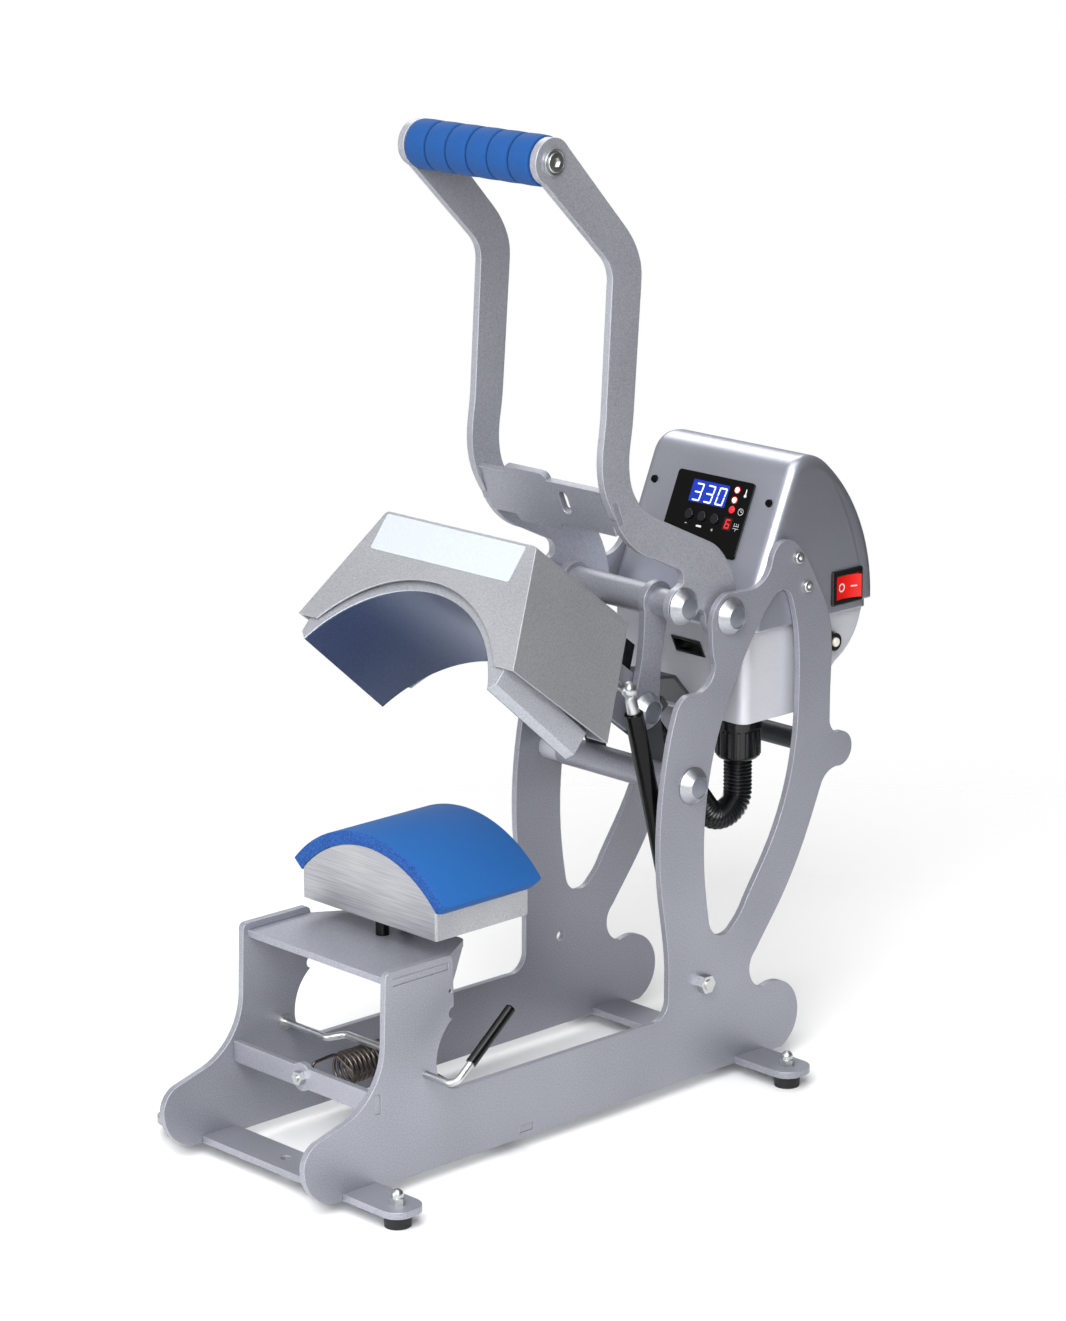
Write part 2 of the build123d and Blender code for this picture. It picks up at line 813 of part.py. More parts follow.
with BuildPart() as handle_arms:
    with BuildSketch(side_plane(arm_inside)):
        with BuildLine():
            # rounded top end round the grip bolt
            ThreePointArc((183.6, 711.4), (167, 719.4), (152.2, 704))
            ThreePointArc((152.2, 704), (154.6, 693.6), (162, 687.2))
            # front edge, from the grip down to the toggle ear
            Line((162, 687.2), (219, 630.4))
            ThreePointArc((219, 630.4), (225.4, 620.6), (226.6, 609))
            Line((226.6, 609), (220.3, 513))
            Spline(
                (220.3, 513),
                (216.6, 482),
                (219.4, 460),
                (231.1, 436.8),
                tangents=((-0.1, -1), (0.55, -0.84)),
            )
            ThreePointArc((231.1, 436.8), (246.6, 416), (270, 402.8))
            Line((270, 402.8), (293, 391.8))
            ThreePointArc((293, 391.8), (299.4, 386.6), (299.6, 378.6))
            ThreePointArc((299.6, 378.6), (296, 376.2), (292.6, 375))
            ThreePointArc(
                (292.6, 375),
                polar(toggle_y, toggle_z, 14.4, 200),
                polar(toggle_y, toggle_z, 14.4, 290),
            )
            # under edge between the toggle ear and the handle pivot ear
            ThreePointArc(
                polar(toggle_y, toggle_z, 14.4, 290), (311.4, 353.6), (317.6, 356.2)
            )
            ThreePointArc((317.6, 356.2), (321.4, 353.8), (323.4, 349.6))
            ThreePointArc(
                (323.4, 349.6),
                polar(handle_pivot_y, handle_pivot_z, 17.6, 270),
                polar(handle_pivot_y, handle_pivot_z, 17.6, 10),
            )
            # rear edge, back up to the grip
            Spline(
                polar(handle_pivot_y, handle_pivot_z, 17.6, 10),
                (353.4, 373),
                (341.6, 394.6),
                (326, 406.8),
                tangents=((-0.17, 1), (-0.9, 0.42)),
            )
            Line((326, 406.8), (284, 426.8))
            Spline(
                (284, 426.8),
                (262, 438.6),
                (246.4, 459),
                (243.8, 484),
                (247.8, 512),
                tangents=((-0.9, 0.42), (0.1, 1)),
            )
            Line((247.8, 512), (255.4, 606))
            Spline(
                (255.4, 606),
                (255.4, 619),
                (248.8, 637),
                (234, 655.7),
                tangents=((0.05, 1), (-0.68, 0.73)),
            )
            Line((234, 655.7), (183.6, 711.4))
        make_face()
        with Locations((grip_y, grip_z)):
            Circle(3.2, mode=Mode.SUBTRACT)
        with Locations((handle_pivot_y, handle_pivot_z)):
            Circle(pin_diameter / 2 + pivot_clearance, mode=Mode.SUBTRACT)
        with Locations((toggle_y, toggle_z)):
            Circle(pin_diameter / 2, mode=Mode.SUBTRACT)
        with Locations(cross_middle):
            Rectangle(
                tab_length + slot_clearance,
                cross_thickness + slot_clearance,
                rotation=cross_angle,
                mode=Mode.SUBTRACT,
            )
    extrude(amount=arm_thickness)
    mirror(about=Plane.YZ)
handle_arms.part.label = "handle_arms"
export_step(handle_arms.part, "parts/handle_arms.step")

cross_run = (cross_front_foot[0] - cross_rear_foot[0]) / cross_length
cross_rise = (cross_front_foot[1] - cross_rear_foot[1]) / cross_length
cross_plane = Plane(
    origin=place(0, *cross_middle), x_dir=(1, 0, 0), z_dir=(0, -cross_rise, cross_run)
)
cross_height = 37
with BuildPart() as handle_cross_plate:
    with BuildSketch(cross_plane):
        Rectangle(2 * arm_inside, cross_height)
        Rectangle(2 * arm_outside, tab_length)
        with Locations((-16, cross_height / 2)):
            SlotOverall(46, 11)
        with Locations((-16, -cross_height / 2)):
            SlotOverall(46, 11)
        with Locations((20, 2)):
            SlotOverall(19, 9, rotation=90, mode=Mode.SUBTRACT)
    extrude(amount=cross_thickness / 2, both=True)
handle_cross_plate.part.label = "handle_cross_plate"
export_step(handle_cross_plate.part, "parts/handle_cross_plate.step")

with BuildPart() as grip_tube:
    with BuildSketch(side_plane(-arm_inside)):
        with Locations((grip_y, grip_z)):
            Circle(grip_tube_diameter / 2)
            Circle(3, mode=Mode.SUBTRACT)
    extrude(amount=2 * arm_inside)
grip_tube.part.label = "grip_tube"
export_step(grip_tube.part, "parts/grip_tube.step")

foam_half = arm_inside - 1
groove_count = 5
groove_half_width = 0.75
groove_depth = 2
foam_bore = grip_tube_diameter / 2 + soft_gap
groove_pitch = 2 * foam_half / (groove_count + 1)
with BuildPart() as foam_grip:
    with BuildSketch(side_plane(-foam_half)):
        with Locations((grip_y, grip_z)):
            Circle(foam_diameter / 2)
    extrude(amount=2 * foam_half)
    fillet(edges().filter_by(GeomType.CIRCLE), radius=2.5)
    for groove in range(groove_count):
        groove_x = -foam_half + groove_pitch * (groove + 1)
        with BuildSketch(side_plane(groove_x - groove_half_width)):
            with Locations((grip_y, grip_z)):
                Circle(foam_diameter / 2 + 1)
                Circle(foam_diameter / 2 - groove_depth, mode=Mode.SUBTRACT)
        extrude(amount=2 * groove_half_width, mode=Mode.SUBTRACT)
    with BuildSketch(side_plane(-foam_half)):
        with Locations((grip_y, grip_z)):
            Circle(foam_bore)
    extrude(amount=2 * foam_half, mode=Mode.SUBTRACT)
foam_grip.part.label = "foam_grip"
export_step(foam_grip.part, "parts/foam_grip.step")

washer_radius = 9.5
washer_thickness = 2.2
washer_dish = 1
bolt_head_radius = 7.2
bolt_head_height = 2.4
bolt_socket_half = 3.2
bolt_socket_depth = 1.6
bolt_reach_in = 20
with BuildPart() as grip_bolts:
    with BuildSketch(side_plane(arm_outside)):
        with Locations((grip_y, grip_z)):
            Circle(washer_radius)
    extrude(amount=washer_thickness)
    chamfer(faces().sort_by(Axis.X)[-1].edges(), length=washer_thickness * 0.6)
    with BuildSketch(side_plane(arm_outside + washer_dish)):
        with Locations((grip_y, grip_z)):
            Circle(bolt_head_radius + screw_clearance)
    extrude(amount=washer_thickness, mode=Mode.SUBTRACT)
    with BuildSketch(side_plane(arm_outside + washer_dish)):
        with Locations((grip_y, grip_z)):
            Circle(bolt_head_radius)
    extrude(amount=bolt_head_height)
    with BuildSketch(side_plane(arm_outside + washer_dish + bolt_head_height)):
        with Locations((grip_y, grip_z)):
            RegularPolygon(bolt_socket_half, 6, major_radius=False)
    extrude(amount=-bolt_socket_depth, mode=Mode.SUBTRACT)
    with BuildSketch(side_plane(arm_outside)):
        with Locations((grip_y, grip_z)):
            Circle(3)
    extrude(amount=-arm_thickness - bolt_reach_in)
    mirror(about=Plane.YZ)
grip_bolts.part.label = "grip_bolts"
export_step(grip_bolts.part, "parts/grip_bolts.step")

# -------------------------------------------------------------------- toggle
toggle_tube_diameter = 23
toggle_sleeve_diameter = 20.5
with BuildPart() as toggle_pin:
    with BuildSketch(side_plane(-arm_outside - cap_seat)):
        with Locations((toggle_y, toggle_z)):
            Circle(pin_diameter / 2)
    extrude(amount=2 * (arm_outside + cap_seat))
    add(bevelled_cap(toggle_y, toggle_z, arm_outside, pin_diameter))
    mirror(about=Plane.YZ)
toggle_pin.part.label = "toggle_pin"
export_step(toggle_pin.part, "parts/toggle_pin.step")

with BuildPart() as toggle_tubes:
    with BuildSketch(side_plane(-link_inside + side_play)):
        with Locations((toggle_y, toggle_z)):
            Circle(toggle_tube_diameter / 2)
            Circle(pin_diameter / 2, mode=Mode.SUBTRACT)
    extrude(amount=2 * (link_inside - side_play))
    with BuildSketch(side_plane(link_outside + side_play)):
        with Locations((toggle_y, toggle_z)):
            Circle(toggle_sleeve_diameter / 2)
            Circle(pin_diameter / 2, mode=Mode.SUBTRACT)
    extrude(amount=arm_inside - link_outside - side_play)
    mirror(about=Plane.YZ)
toggle_tubes.part.label = "toggle_tubes"
export_step(toggle_tubes.part, "parts/toggle_tubes.step")

link_head_radius = 15
link_foot_radius = 14.3
link_waist = 10.5
link_side = link_angle + 90
link_middle = polar(toggle_y, toggle_z, link_length / 2, link_angle)
link_head_front = polar(toggle_y, toggle_z, link_head_radius, link_side + 210)
link_head_rear = polar(toggle_y, toggle_z, link_head_radius, link_side - 30)
link_foot_front = polar(link_foot_y, link_foot_z, link_foot_radius, link_side + 160)
link_foot_rear = polar(link_foot_y, link_foot_z, link_foot_radius, link_side + 20)
with BuildPart() as toggle_links:
    with BuildSketch(side_plane(link_inside)):
        with BuildLine():
            ThreePointArc(
                link_head_rear,
                polar(toggle_y, toggle_z, link_head_radius, link_angle + 180),
                link_head_front,
            )
            Spline(
                link_head_front,
                polar(*link_middle, link_waist, link_side + 180),
                link_foot_front,
            )
            ThreePointArc(
                link_foot_front,
                polar(link_foot_y, link_foot_z, link_foot_radius, link_angle),
                link_foot_rear,
            )
            Spline(link_foot_rear, polar(*link_middle, link_waist, link_side), link_head_rear)
        make_face()
        with Locations((toggle_y, toggle_z)):
            Circle(pin_diameter / 2 + pivot_clearance, mode=Mode.SUBTRACT)
        with Locations((link_foot_y, link_foot_z)):
            Circle(link_pin_diameter / 2, mode=Mode.SUBTRACT)
    extrude(amount=link_thickness)
    mirror(about=Plane.YZ)
toggle_links.part.label = "toggle_links"
export_step(toggle_links.part, "parts/toggle_links.step")

with BuildPart() as link_caps:
    add(bevelled_cap(link_foot_y, link_foot_z, link_outside, 5))
    with BuildSketch(side_plane(link_inside)):
        with Locations((link_foot_y, link_foot_z)):
            Circle(link_pin_diameter / 2)
    extrude(amount=link_thickness)
    mirror(about=Plane.YZ)
link_caps.part.label = "link_caps"
export_step(link_caps.part, "parts/link_caps.step")

# ------------------------------------------------------------------ head arm
link_joint_along = 207.1
link_joint_above = 57.4
arm_front = 22
arm_step_front = 108
arm_step_rear = 124
inner_underside = 54
web_rear = 200
arm_neck = 236

with BuildPart() as head_arm:
    with BuildSketch(head_side(channel_half - channel_wall)):
        with BuildLine():
            # open channel below, and a saddle over the shaft tube
            Polyline(
                (232, 69),
                (206, arm_top),
                (arm_front, arm_top),
                (arm_front, inner_underside),
                (arm_step_front, inner_underside),
                (arm_step_rear, arm_underside),
                (arm_neck, arm_underside),
                (shaft_behind_face - 6, shaft_above_edge + 9),
                (shaft_behind_face, shaft_above_edge),
                (shaft_behind_face + 11, shaft_above_edge),
                (shaft_behind_face + 17.4, shaft_above_edge + 10),
                (232, 69),
            )
        make_face()
        with Locations((shaft_behind_face, shaft_above_edge)):
            Circle(boss_diameter / 2, mode=Mode.SUBTRACT)
        with Locations((link_joint_along, link_joint_above)):
            Circle(link_pin_diameter / 2, mode=Mode.SUBTRACT)
        with Locations((ball_along_head, ball_above_edge)):
            Circle(3, mode=Mode.SUBTRACT)
    extrude(amount=channel_wall)
    mirror(about=Plane.YZ)
    with BuildSketch(head_side(-channel_half)):
        with Locations(((arm_front + web_rear) / 2, arm_top - channel_wall / 2)):
            Rectangle(web_rear - arm_front, channel_wall)
    extrude(amount=2 * channel_half)
head_arm.part.label = "head_arm"
export_step(head_arm.part, "parts/head_arm.step")

with BuildPart() as head_pins:
    with BuildSketch(head_side(-boss_half)):
        with Locations((shaft_behind_face, shaft_above_edge)):
            Circle(boss_diameter / 2)
            Circle(pin_diameter / 2 + pivot_clearance, mode=Mode.SUBTRACT)
    extrude(amount=2 * boss_half)
    with BuildSketch(head_side(soft_gap - link_inside)):
        with Locations((link_joint_along, link_joint_above)):
            Circle(link_pin_diameter / 2)
    extrude(amount=2 * (link_inside - soft_gap))
head_pins.part.label = "head_pins"
export_step(head_pins.part, "parts/head_pins.step")

bracket_front = 60
with BuildPart() as head_brackets:
    with BuildSketch(head_side(channel_half)):
        with BuildLine():
            Polyline(
                (229, 70.4),
                (206, arm_top),
                (bracket_front, arm_top),
                (bracket_front, inner_underside),
                (arm_step_front, inner_underside),
                (arm_step_rear, arm_underside),
                (link_joint_along, arm_underside),
            )
            ThreePointArc((link_joint_along, arm_underside), (225, 50), (229, 70.4))
        make_face()
        with Locations((link_joint_along, link_joint_above)):
            Circle(link_pin_diameter / 2, mode=Mode.SUBTRACT)
        with Locations((ball_along_head, ball_above_edge)):
            Circle(3, mode=Mode.SUBTRACT)
    extrude(amount=bracket_thickness)
    mirror(about=Plane.YZ)
head_brackets.part.label = "head_brackets"
export_step(head_brackets.part, "parts/head_brackets.step")

# -------------------------------------------------------------------- shroud
arch_centre_above = shroud_arch_apex - shroud_arch_radius
arm_slot_half = channel_half + bracket_thickness + 1.5
standoffs = ((-22, 44), (22, 44), (-22, 92), (22, 92))
with BuildPart() as head_shroud:
    with BuildSketch(head_front(shroud_depth)):
        Polygon(
            (-shroud_foot_half, 0),
            (shroud_foot_half, 0),
            (shroud_top_half, shroud_height),
            (-shroud_top_half, shroud_height),
            align=None,
        )
        fillet(vertices().group_by(Axis.Y)[-1], radius=5)
    extrude(amount=shroud_depth)
    # hollow, open below
    with BuildSketch(head_front(shroud_depth - shroud_sheet)):
        Polygon(
            (-shroud_foot_half + shroud_sheet, -1),
            (shroud_foot_half - shroud_sheet, -1),
            (shroud_top_half - shroud_sheet, shroud_height - shroud_sheet),
            (-shroud_top_half + shroud_sheet, shroud_height - shroud_sheet),
            align=None,
        )
        fillet(vertices().group_by(Axis.Y)[-1], radius=3.5)
    extrude(amount=shroud_depth - 2 * shroud_sheet, mode=Mode.SUBTRACT)
    # arch through the front and rear sheets
    with BuildSketch(head_front(shroud_depth + 1)):
        with Locations((0, arch_centre_above)):
            Circle(shroud_arch_radius)
    extrude(amount=shroud_depth + 2, mode=Mode.SUBTRACT)
    # slot for the arm in the rear sheet
    with BuildSketch(head_front(shroud_depth + 1)):
        with Locations((0, arm_top + 1 - 25)):
            Rectangle(2 * arm_slot_half, 50)
    extrude(amount=shroud_sheet + 2, mode=Mode.SUBTRACT)
    with BuildSketch(head_level(shroud_height - 2 * shroud_sheet)):
        with Locations(*standoffs):
            Circle(2)
    extrude(amount=4 * shroud_sheet, mode=Mode.SUBTRACT)
head_shroud.part.label = "head_shroud"
export_step(head_shroud.part, "parts/head_shroud.step")

with BuildPart() as shroud_screws:
    with BuildSketch(head_level(arm_top)):
        with Locations(*standoffs):
            Circle(5)
    extrude(amount=shroud_height - shroud_sheet - arm_top)
    with BuildSketch(head_level(shroud_height)):
        with Locations(*standoffs):
            Circle(3.6)
    extrude(amount=1.8, taper=20)
    with BuildSketch(head_level(shroud_height)):
        with Locations(*standoffs):
            Circle(2)
    extrude(amount=-10)
shroud_screws.part.label = "shroud_screws"
export_step(shroud_screws.part, "parts/shroud_screws.step")

label_half = 73.5
label_height = 29
label_x = -3.5
label_above = 76.3
label_thickness = 0.4
with BuildPart() as label_plate:
    with BuildSketch(head_front(0)):
        with Locations((label_x, label_above)):
            RectangleRounded(2 * label_half, label_height, 2)
    extrude(amount=label_thickness)
label_plate.part.label = "label_plate"
export_step(label_plate.part, "parts/label_plate.step")

# --------------------------------------------------------------- heat platen
platen_set_back = 2.4
platen_rise = 0.3
platen_cos = cos(radians(platen_lay_back))
platen_sin = sin(radians(platen_lay_back))
platen_front_point = head_place(0, platen_set_back, platen_rise)
platen_rear_plane = Plane(
    origin=platen_front_point + Vector(0, platen_cos, -platen_sin) * platen_depth,
    x_dir=(1, 0, 0),
    z_dir=(0, -platen_cos, platen_sin),
)
ring_centre = platen_apex - platen_inner_radius
inner_tip = (platen_inner_radius**2 - (platen_tip_drop + ring_centre) ** 2) ** 0.5
boss_front, boss_rear = 40, 100
with BuildPart() as heat_platen:
    with BuildSketch(platen_rear_plane):
        with BuildLine():
            ThreePointArc(
                (-inner_tip, -platen_tip_drop), (0, platen_apex), (inner_tip, -platen_tip_drop)
            )
            Polyline(
                (inner_tip, -platen_tip_drop),
                (platen_side_half, platen_side_foot),
                (platen_side_half, platen_side_top),
            )
            ThreePointArc(
                (platen_side_half, platen_side_top),
                (0, platen_crown),
                (-platen_side_half, platen_side_top),
            )
            Polyline(
                (-platen_side_half, platen_side_top),
                (-platen_side_half, platen_side_foot),
                (-inner_tip, -platen_tip_drop),
            )
        make_face()
    extrude(amount=platen_depth)
    inner_arcs = edges().filter_by(GeomType.CIRCLE).filter_by(
        lambda e: abs(e.radius - platen_inner_radius) < 0.5
    )
    chamfer(inner_arcs.sort_by(Axis.Y)[0], length=platen_edge_break)
    # mounting boss up to the underside of the arm
    with BuildSketch(head_side(-channel_half)):
        Polygon(
            (boss_front, 39.4),
            (boss_rear, 35.5),
            (boss_rear, inner_underside),
            (boss_front, inner_underside),
            align=None,
        )
    extrude(amount=2 * channel_half)
heat_platen.part.label = "heat_platen"
export_step(heat_platen.part, "parts/heat_platen.step")

# ------------------------------------------------- terminal cover and bracket
cover_front, cover_rear = 150, 186
cover_left, cover_right = -28, 34
cover_height = 19.5
with BuildPart() as terminal_cover:
    with BuildSketch(head_side(cover_left)):
        with BuildLine():
            Polyline(
                (cover_front, arm_top),
                (cover_rear, arm_top),
                (cover_rear - 8, arm_top + cover_height),
                (cover_front, arm_top + cover_height),
                close=True,
            )
        make_face()
    extrude(amount=cover_right - cover_left)
    fillet(edges().filter_by(Axis.X).group_by(Axis.Z)[-1], radius=2)
terminal_cover.part.label = "terminal_cover"
export_step(terminal_cover.part, "parts/terminal_cover.step")

hood_thickness = 3
hood_left, hood_right = -12, 26
with BuildPart() as conduit_hood:
    with BuildSketch(head_side(hood_left)):
        with BuildLine():
            Polyline(
                (cover_rear + 2, arm_top),
                (203, arm_top),
                (203, arm_top + 1),
                (240, 97),
                (277, 90),
                (277.5, 90 + hood_thickness),
                (240, 97 + hood_thickness),
                (201, arm_top + hood_thickness),
                (cover_rear + 2, arm_top + hood_thickness),
                close=True,
            )
        make_face()
    extrude(amount=hood_right - hood_left)

# ----------------------------------------------------------------- gas strut
ball_y = head_y + ball_along_head * head_cos + ball_above_edge * head_sin
ball_z = head_z - ball_along_head * head_sin + ball_above_edge * head_cos
strut_reach = hypot(strut_foot_y - ball_y, strut_foot_z - ball_z)
strut_dir_y = (strut_foot_y - ball_y) / strut_reach
strut_dir_z = (strut_foot_z - ball_z) / strut_reach
strut_tube_start = 19
strut_bore_depth = 120
socket_mouth = 3.2
ferrule_stub = 6


def strut_plane(distance):
    # Square to the strut, at a distance from its ball
    return Plane(
        origin=place(strut_x, ball_y + strut_dir_y * distance, ball_z + strut_dir_z * distance),
        x_dir=(1, 0, 0),
        z_dir=(0, strut_dir_y, strut_dir_z),
    )


ball_stud_radius = 3
with BuildPart() as ball_stud:
    with Locations(place(strut_x, ball_y, ball_z)):
        Sphere(ball_diameter / 2)
    with BuildSketch(side_plane(channel_half - channel_wall - 5)):
        with Locations((ball_y, ball_z)):
            Circle(ball_stud_radius)
    extrude(amount=strut_x - channel_half + channel_wall + 5)
    with BuildSketch(side_plane(channel_half + bracket_thickness)):
        with Locations((ball_y, ball_z)):
            Circle(4.5)
    extrude(amount=10)
    with BuildSketch(side_plane(channel_half + bracket_thickness)):
        with Locations((ball_y, ball_z)):
            RegularPolygon(6.5, 6, major_radius=False)
    extrude(amount=4)
    with BuildSketch(side_plane(channel_half - channel_wall)):
        with Locations((ball_y, ball_z)):
            RegularPolygon(5, 6, major_radius=False)
    extrude(amount=-4)
ball_stud.part.label = "ball_stud"
export_step(ball_stud.part, "parts/ball_stud.step")

with BuildPart() as strut_socket:
    with BuildSketch(strut_plane(0)):
        Circle(ferrule_diameter / 2)
    extrude(amount=strut_tube_start)
    with BuildSketch(strut_plane(strut_tube_start)):
        Circle(strut_rod_diameter / 2)
    extrude(amount=ferrule_stub)
    with Locations(place(strut_x, ball_y, ball_z)):
        Sphere(socket_diameter / 2)
    # cup for the ball, open towards the arm
    with Locations(place(strut_x, ball_y, ball_z)):
        Sphere(ball_diameter / 2 + pivot_clearance, mode=Mode.SUBTRACT)
    with BuildSketch(side_plane(strut_x - socket_mouth)):
        with Locations((ball_y, ball_z)):
            Circle(socket_diameter)
    extrude(amount=-socket_diameter, mode=Mode.SUBTRACT)
strut_socket.part.label = "strut_socket"
export_step(strut_socket.part, "parts/strut_socket.step")

with BuildPart() as gas_cylinder:
    with BuildSketch(strut_plane(strut_tube_start)):
        Circle(strut_tube_diameter / 2)
    extrude(amount=strut_tube_length)
    fillet(edges().filter_by(GeomType.CIRCLE), radius=1.5)
    with BuildSketch(strut_plane(strut_tube_start)):
        Circle(strut_rod_diameter / 2)
    extrude(amount=ferrule_stub, mode=Mode.SUBTRACT)
    # bore for the rod
    with BuildSketch(strut_plane(strut_tube_start + strut_tube_length)):
        Circle(strut_bore_diameter / 2)
    extrude(amount=-strut_bore_depth, mode=Mode.SUBTRACT)
gas_cylinder.part.label = "gas_cylinder"
export_step(gas_cylinder.part, "parts/gas_cylinder.step")

rod_overlap = 30
eye_radius = 8
foot_stud_radius = 4
with BuildPart() as gas_rod:
    with BuildSketch(strut_plane(strut_tube_start + strut_tube_length - rod_overlap)):
        Circle(strut_rod_diameter / 2)
    extrude(amount=strut_reach - strut_tube_start - strut_tube_length + rod_overlap - 6)
    with BuildSketch(side_plane(strut_x - 4)):
        with Locations((strut_foot_y, strut_foot_z)):
            Circle(eye_radius)
    extrude(amount=8)
    with BuildSketch(side_plane(strut_x - 4)):
        with Locations((strut_foot_y, strut_foot_z)):
            Circle(foot_stud_radius + pivot_clearance)
    extrude(amount=8, mode=Mode.SUBTRACT)
gas_rod.part.label = "gas_rod"
export_step(gas_rod.part, "parts/gas_rod.step")

with BuildPart() as strut_stud:
    with BuildSketch(side_plane(strut_x - 7)):
        with Locations((strut_foot_y, strut_foot_z)):
            Circle(6.5)
    extrude(amount=2.9)
    with BuildSketch(side_plane(strut_x - 5)):
        with Locations((strut_foot_y, strut_foot_z)):
            Circle(foot_stud_radius)
    extrude(amount=plate_outside + 7 - strut_x + 5)
    with BuildSketch(side_plane(strut_x + 4.1)):
        with Locations((strut_foot_y, strut_foot_z)):
            Circle(7)
    extrude(amount=plate_inside - strut_x - 4.1)
    with BuildSketch(side_plane(plate_outside)):
        with Locations((strut_foot_y, strut_foot_z)):
            RegularPolygon(6.5, 6, major_radius=False)
    extrude(amount=6)
strut_stud.part.label = "strut_stud"
export_step(strut_stud.part, "parts/strut_stud.step")

# ------------------------------------------------------------ control housing
face_cos = cos(radians(face_tilt))
face_sin = sin(radians(face_tilt))
panel_left, panel_right = -37, 43
panel_low, panel_high = -48, 12
panel_thickness = 1.6
face_screw_x = 60.4


def face_plane(proud):
    # On the sloping front of the housing, standing proud by a given height
    return Plane(
        origin=place(0, face_y - proud * face_cos, face_z + proud * face_sin),
        x_dir=(1, 0, 0),
        z_dir=(0, -face_cos, face_sin),
    )


face_foot_z, face_head_z = 346.5, 441.8
face_foot_y = face_y + (face_foot_z - face_z) * face_sin / face_cos
face_head_y = face_y + (face_head_z - face_z) * face_sin / face_cos
with BuildSketch() as housing_profile:
    with BuildLine():
        Polyline(
            (446, seam_z),
            (face_foot_y, seam_z),
            (face_foot_y, face_foot_z),
            (face_head_y, face_head_z),
        )
        brow = TangentArc((face_head_y, face_head_z), (430, 454.6), tangent=(face_sin, face_cos))
        crown = TangentArc(brow @ 1, (461, 440), tangent=brow % 1)
        back = TangentArc(crown @ 1, (500, seam_z), tangent=crown % 1)
        Line(back @ 1, (446, seam_z))
    make_face()

rocker_y, rocker_z = 474, 347.5
rocker_cut_length, rocker_cut_height = 28, 21
with BuildPart() as housing_hollow:
    with BuildSketch(side_plane(housing_wall - housing_half)):
        add(housing_profile.sketch)
        offset(amount=-housing_wall)
    extrude(amount=2 * (housing_half - housing_wall))
    hollow_ends = edges().filter_by(lambda e: abs(e.center().X) > housing_half - housing_wall - 0.1)
    fillet(
        hollow_ends.filter_by(lambda e: e.center().Z > floor_to_bars + seam_z + 2 * housing_wall),
        radius=housing_round - housing_wall,
    )

with BuildPart() as upper_housing:
    with BuildSketch(side_plane(-housing_half)):
        add(housing_profile.sketch)
    extrude(amount=2 * housing_half)
    side_edges = edges().filter_by(lambda e: abs(e.center().X) > housing_half - 0.1)
    fillet(
        side_edges.filter_by(lambda e: e.center().Z > floor_to_bars + seam_z + housing_wall),
        radius=housing_round,
    )
    add(housing_hollow.part, mode=Mode.SUBTRACT)
    # opening under the housing, over the lower box
    with BuildSketch(level_plane(seam_z - 1)):
        with Locations((0, 432)):
            Rectangle(2 * lower_half - 12, 118)
    extrude(amount=housing_wall + 2, mode=Mode.SUBTRACT)
    # opening behind the control panel
    with BuildSketch(face_plane(1)):
        with Locations(((panel_left + panel_right) / 2, (panel_low + panel_high) / 2)):
            Rectangle(panel_right - panel_left - 8, panel_high - panel_low - 8)
    extrude(amount=-housing_wall - 8, mode=Mode.SUBTRACT)
    with BuildSketch(face_plane(1)):
        with Locations((-face_screw_x, 0), (face_screw_x, 0)):
            Circle(1.5)
    extrude(amount=-housing_wall - 2, mode=Mode.SUBTRACT)
    # rocker cut-out and side screw holes
    with BuildSketch(side_plane(housing_half + 1)):
        with Locations((rocker_y, rocker_z)):
            Rectangle(rocker_cut_length, rocker_cut_height)
        with Locations(*housing_screws):
            Circle(2.5)
    extrude(amount=-housing_wall - 2, mode=Mode.SUBTRACT)
    with BuildSketch(side_plane(-housing_half - 1)):
        with Locations(*housing_screws):
            Circle(2.5)
    extrude(amount=housing_wall + 2, mode=Mode.SUBTRACT)
upper_housing.part.label = "upper_housing"
export_step(upper_housing.part, "parts/upper_housing.step")

lower_front = 366
with BuildSketch() as lower_profile:
    with BuildLine():
        Polyline(
            (448, lower_bottom),
            (lower_front, lower_bottom),
            (lower_front, seam_z),
            (497, seam_z),
            (495, 322),
        )
        ThreePointArc((495, 322), (485, 303), (467, 289))
        ThreePointArc((467, 289), (456, 276), (448, lower_bottom))
    make_face()

port_x, port_z = 12.2, 308.4
port_width, port_height = 30.6, 11.2
port_lean = 6


def port_corners(inset):
    half_wide = port_width / 2 - inset
    half_tall = port_height / 2 - inset
    shift = port_lean * half_tall / port_height
    return (
        (port_x - half_wide - shift, port_z + half_tall),
        (port_x + half_wide - shift, port_z + half_tall),
        (port_x + half_wide + shift, port_z - half_tall),
        (port_x - half_wide + shift, port_z - half_tall),
    )


breaker_y, breaker_z = 461, 306
breaker_radius = 6
inlet_x, inlet_y = -32, 420
inlet_width, inlet_depth = 48, 28
relief_width, relief_length = 5, 16
relief_z = 326
with BuildPart() as lower_hollow:
    with BuildSketch(side_plane(housing_wall - lower_half)):
        add(lower_profile.sketch)
        offset(amount=-housing_wall)
    extrude(amount=2 * (lower_half - housing_wall))
    fillet(edges().filter_by(Axis.Z).group_by(Axis.Y)[0], radius=lower_round - housing_wall)

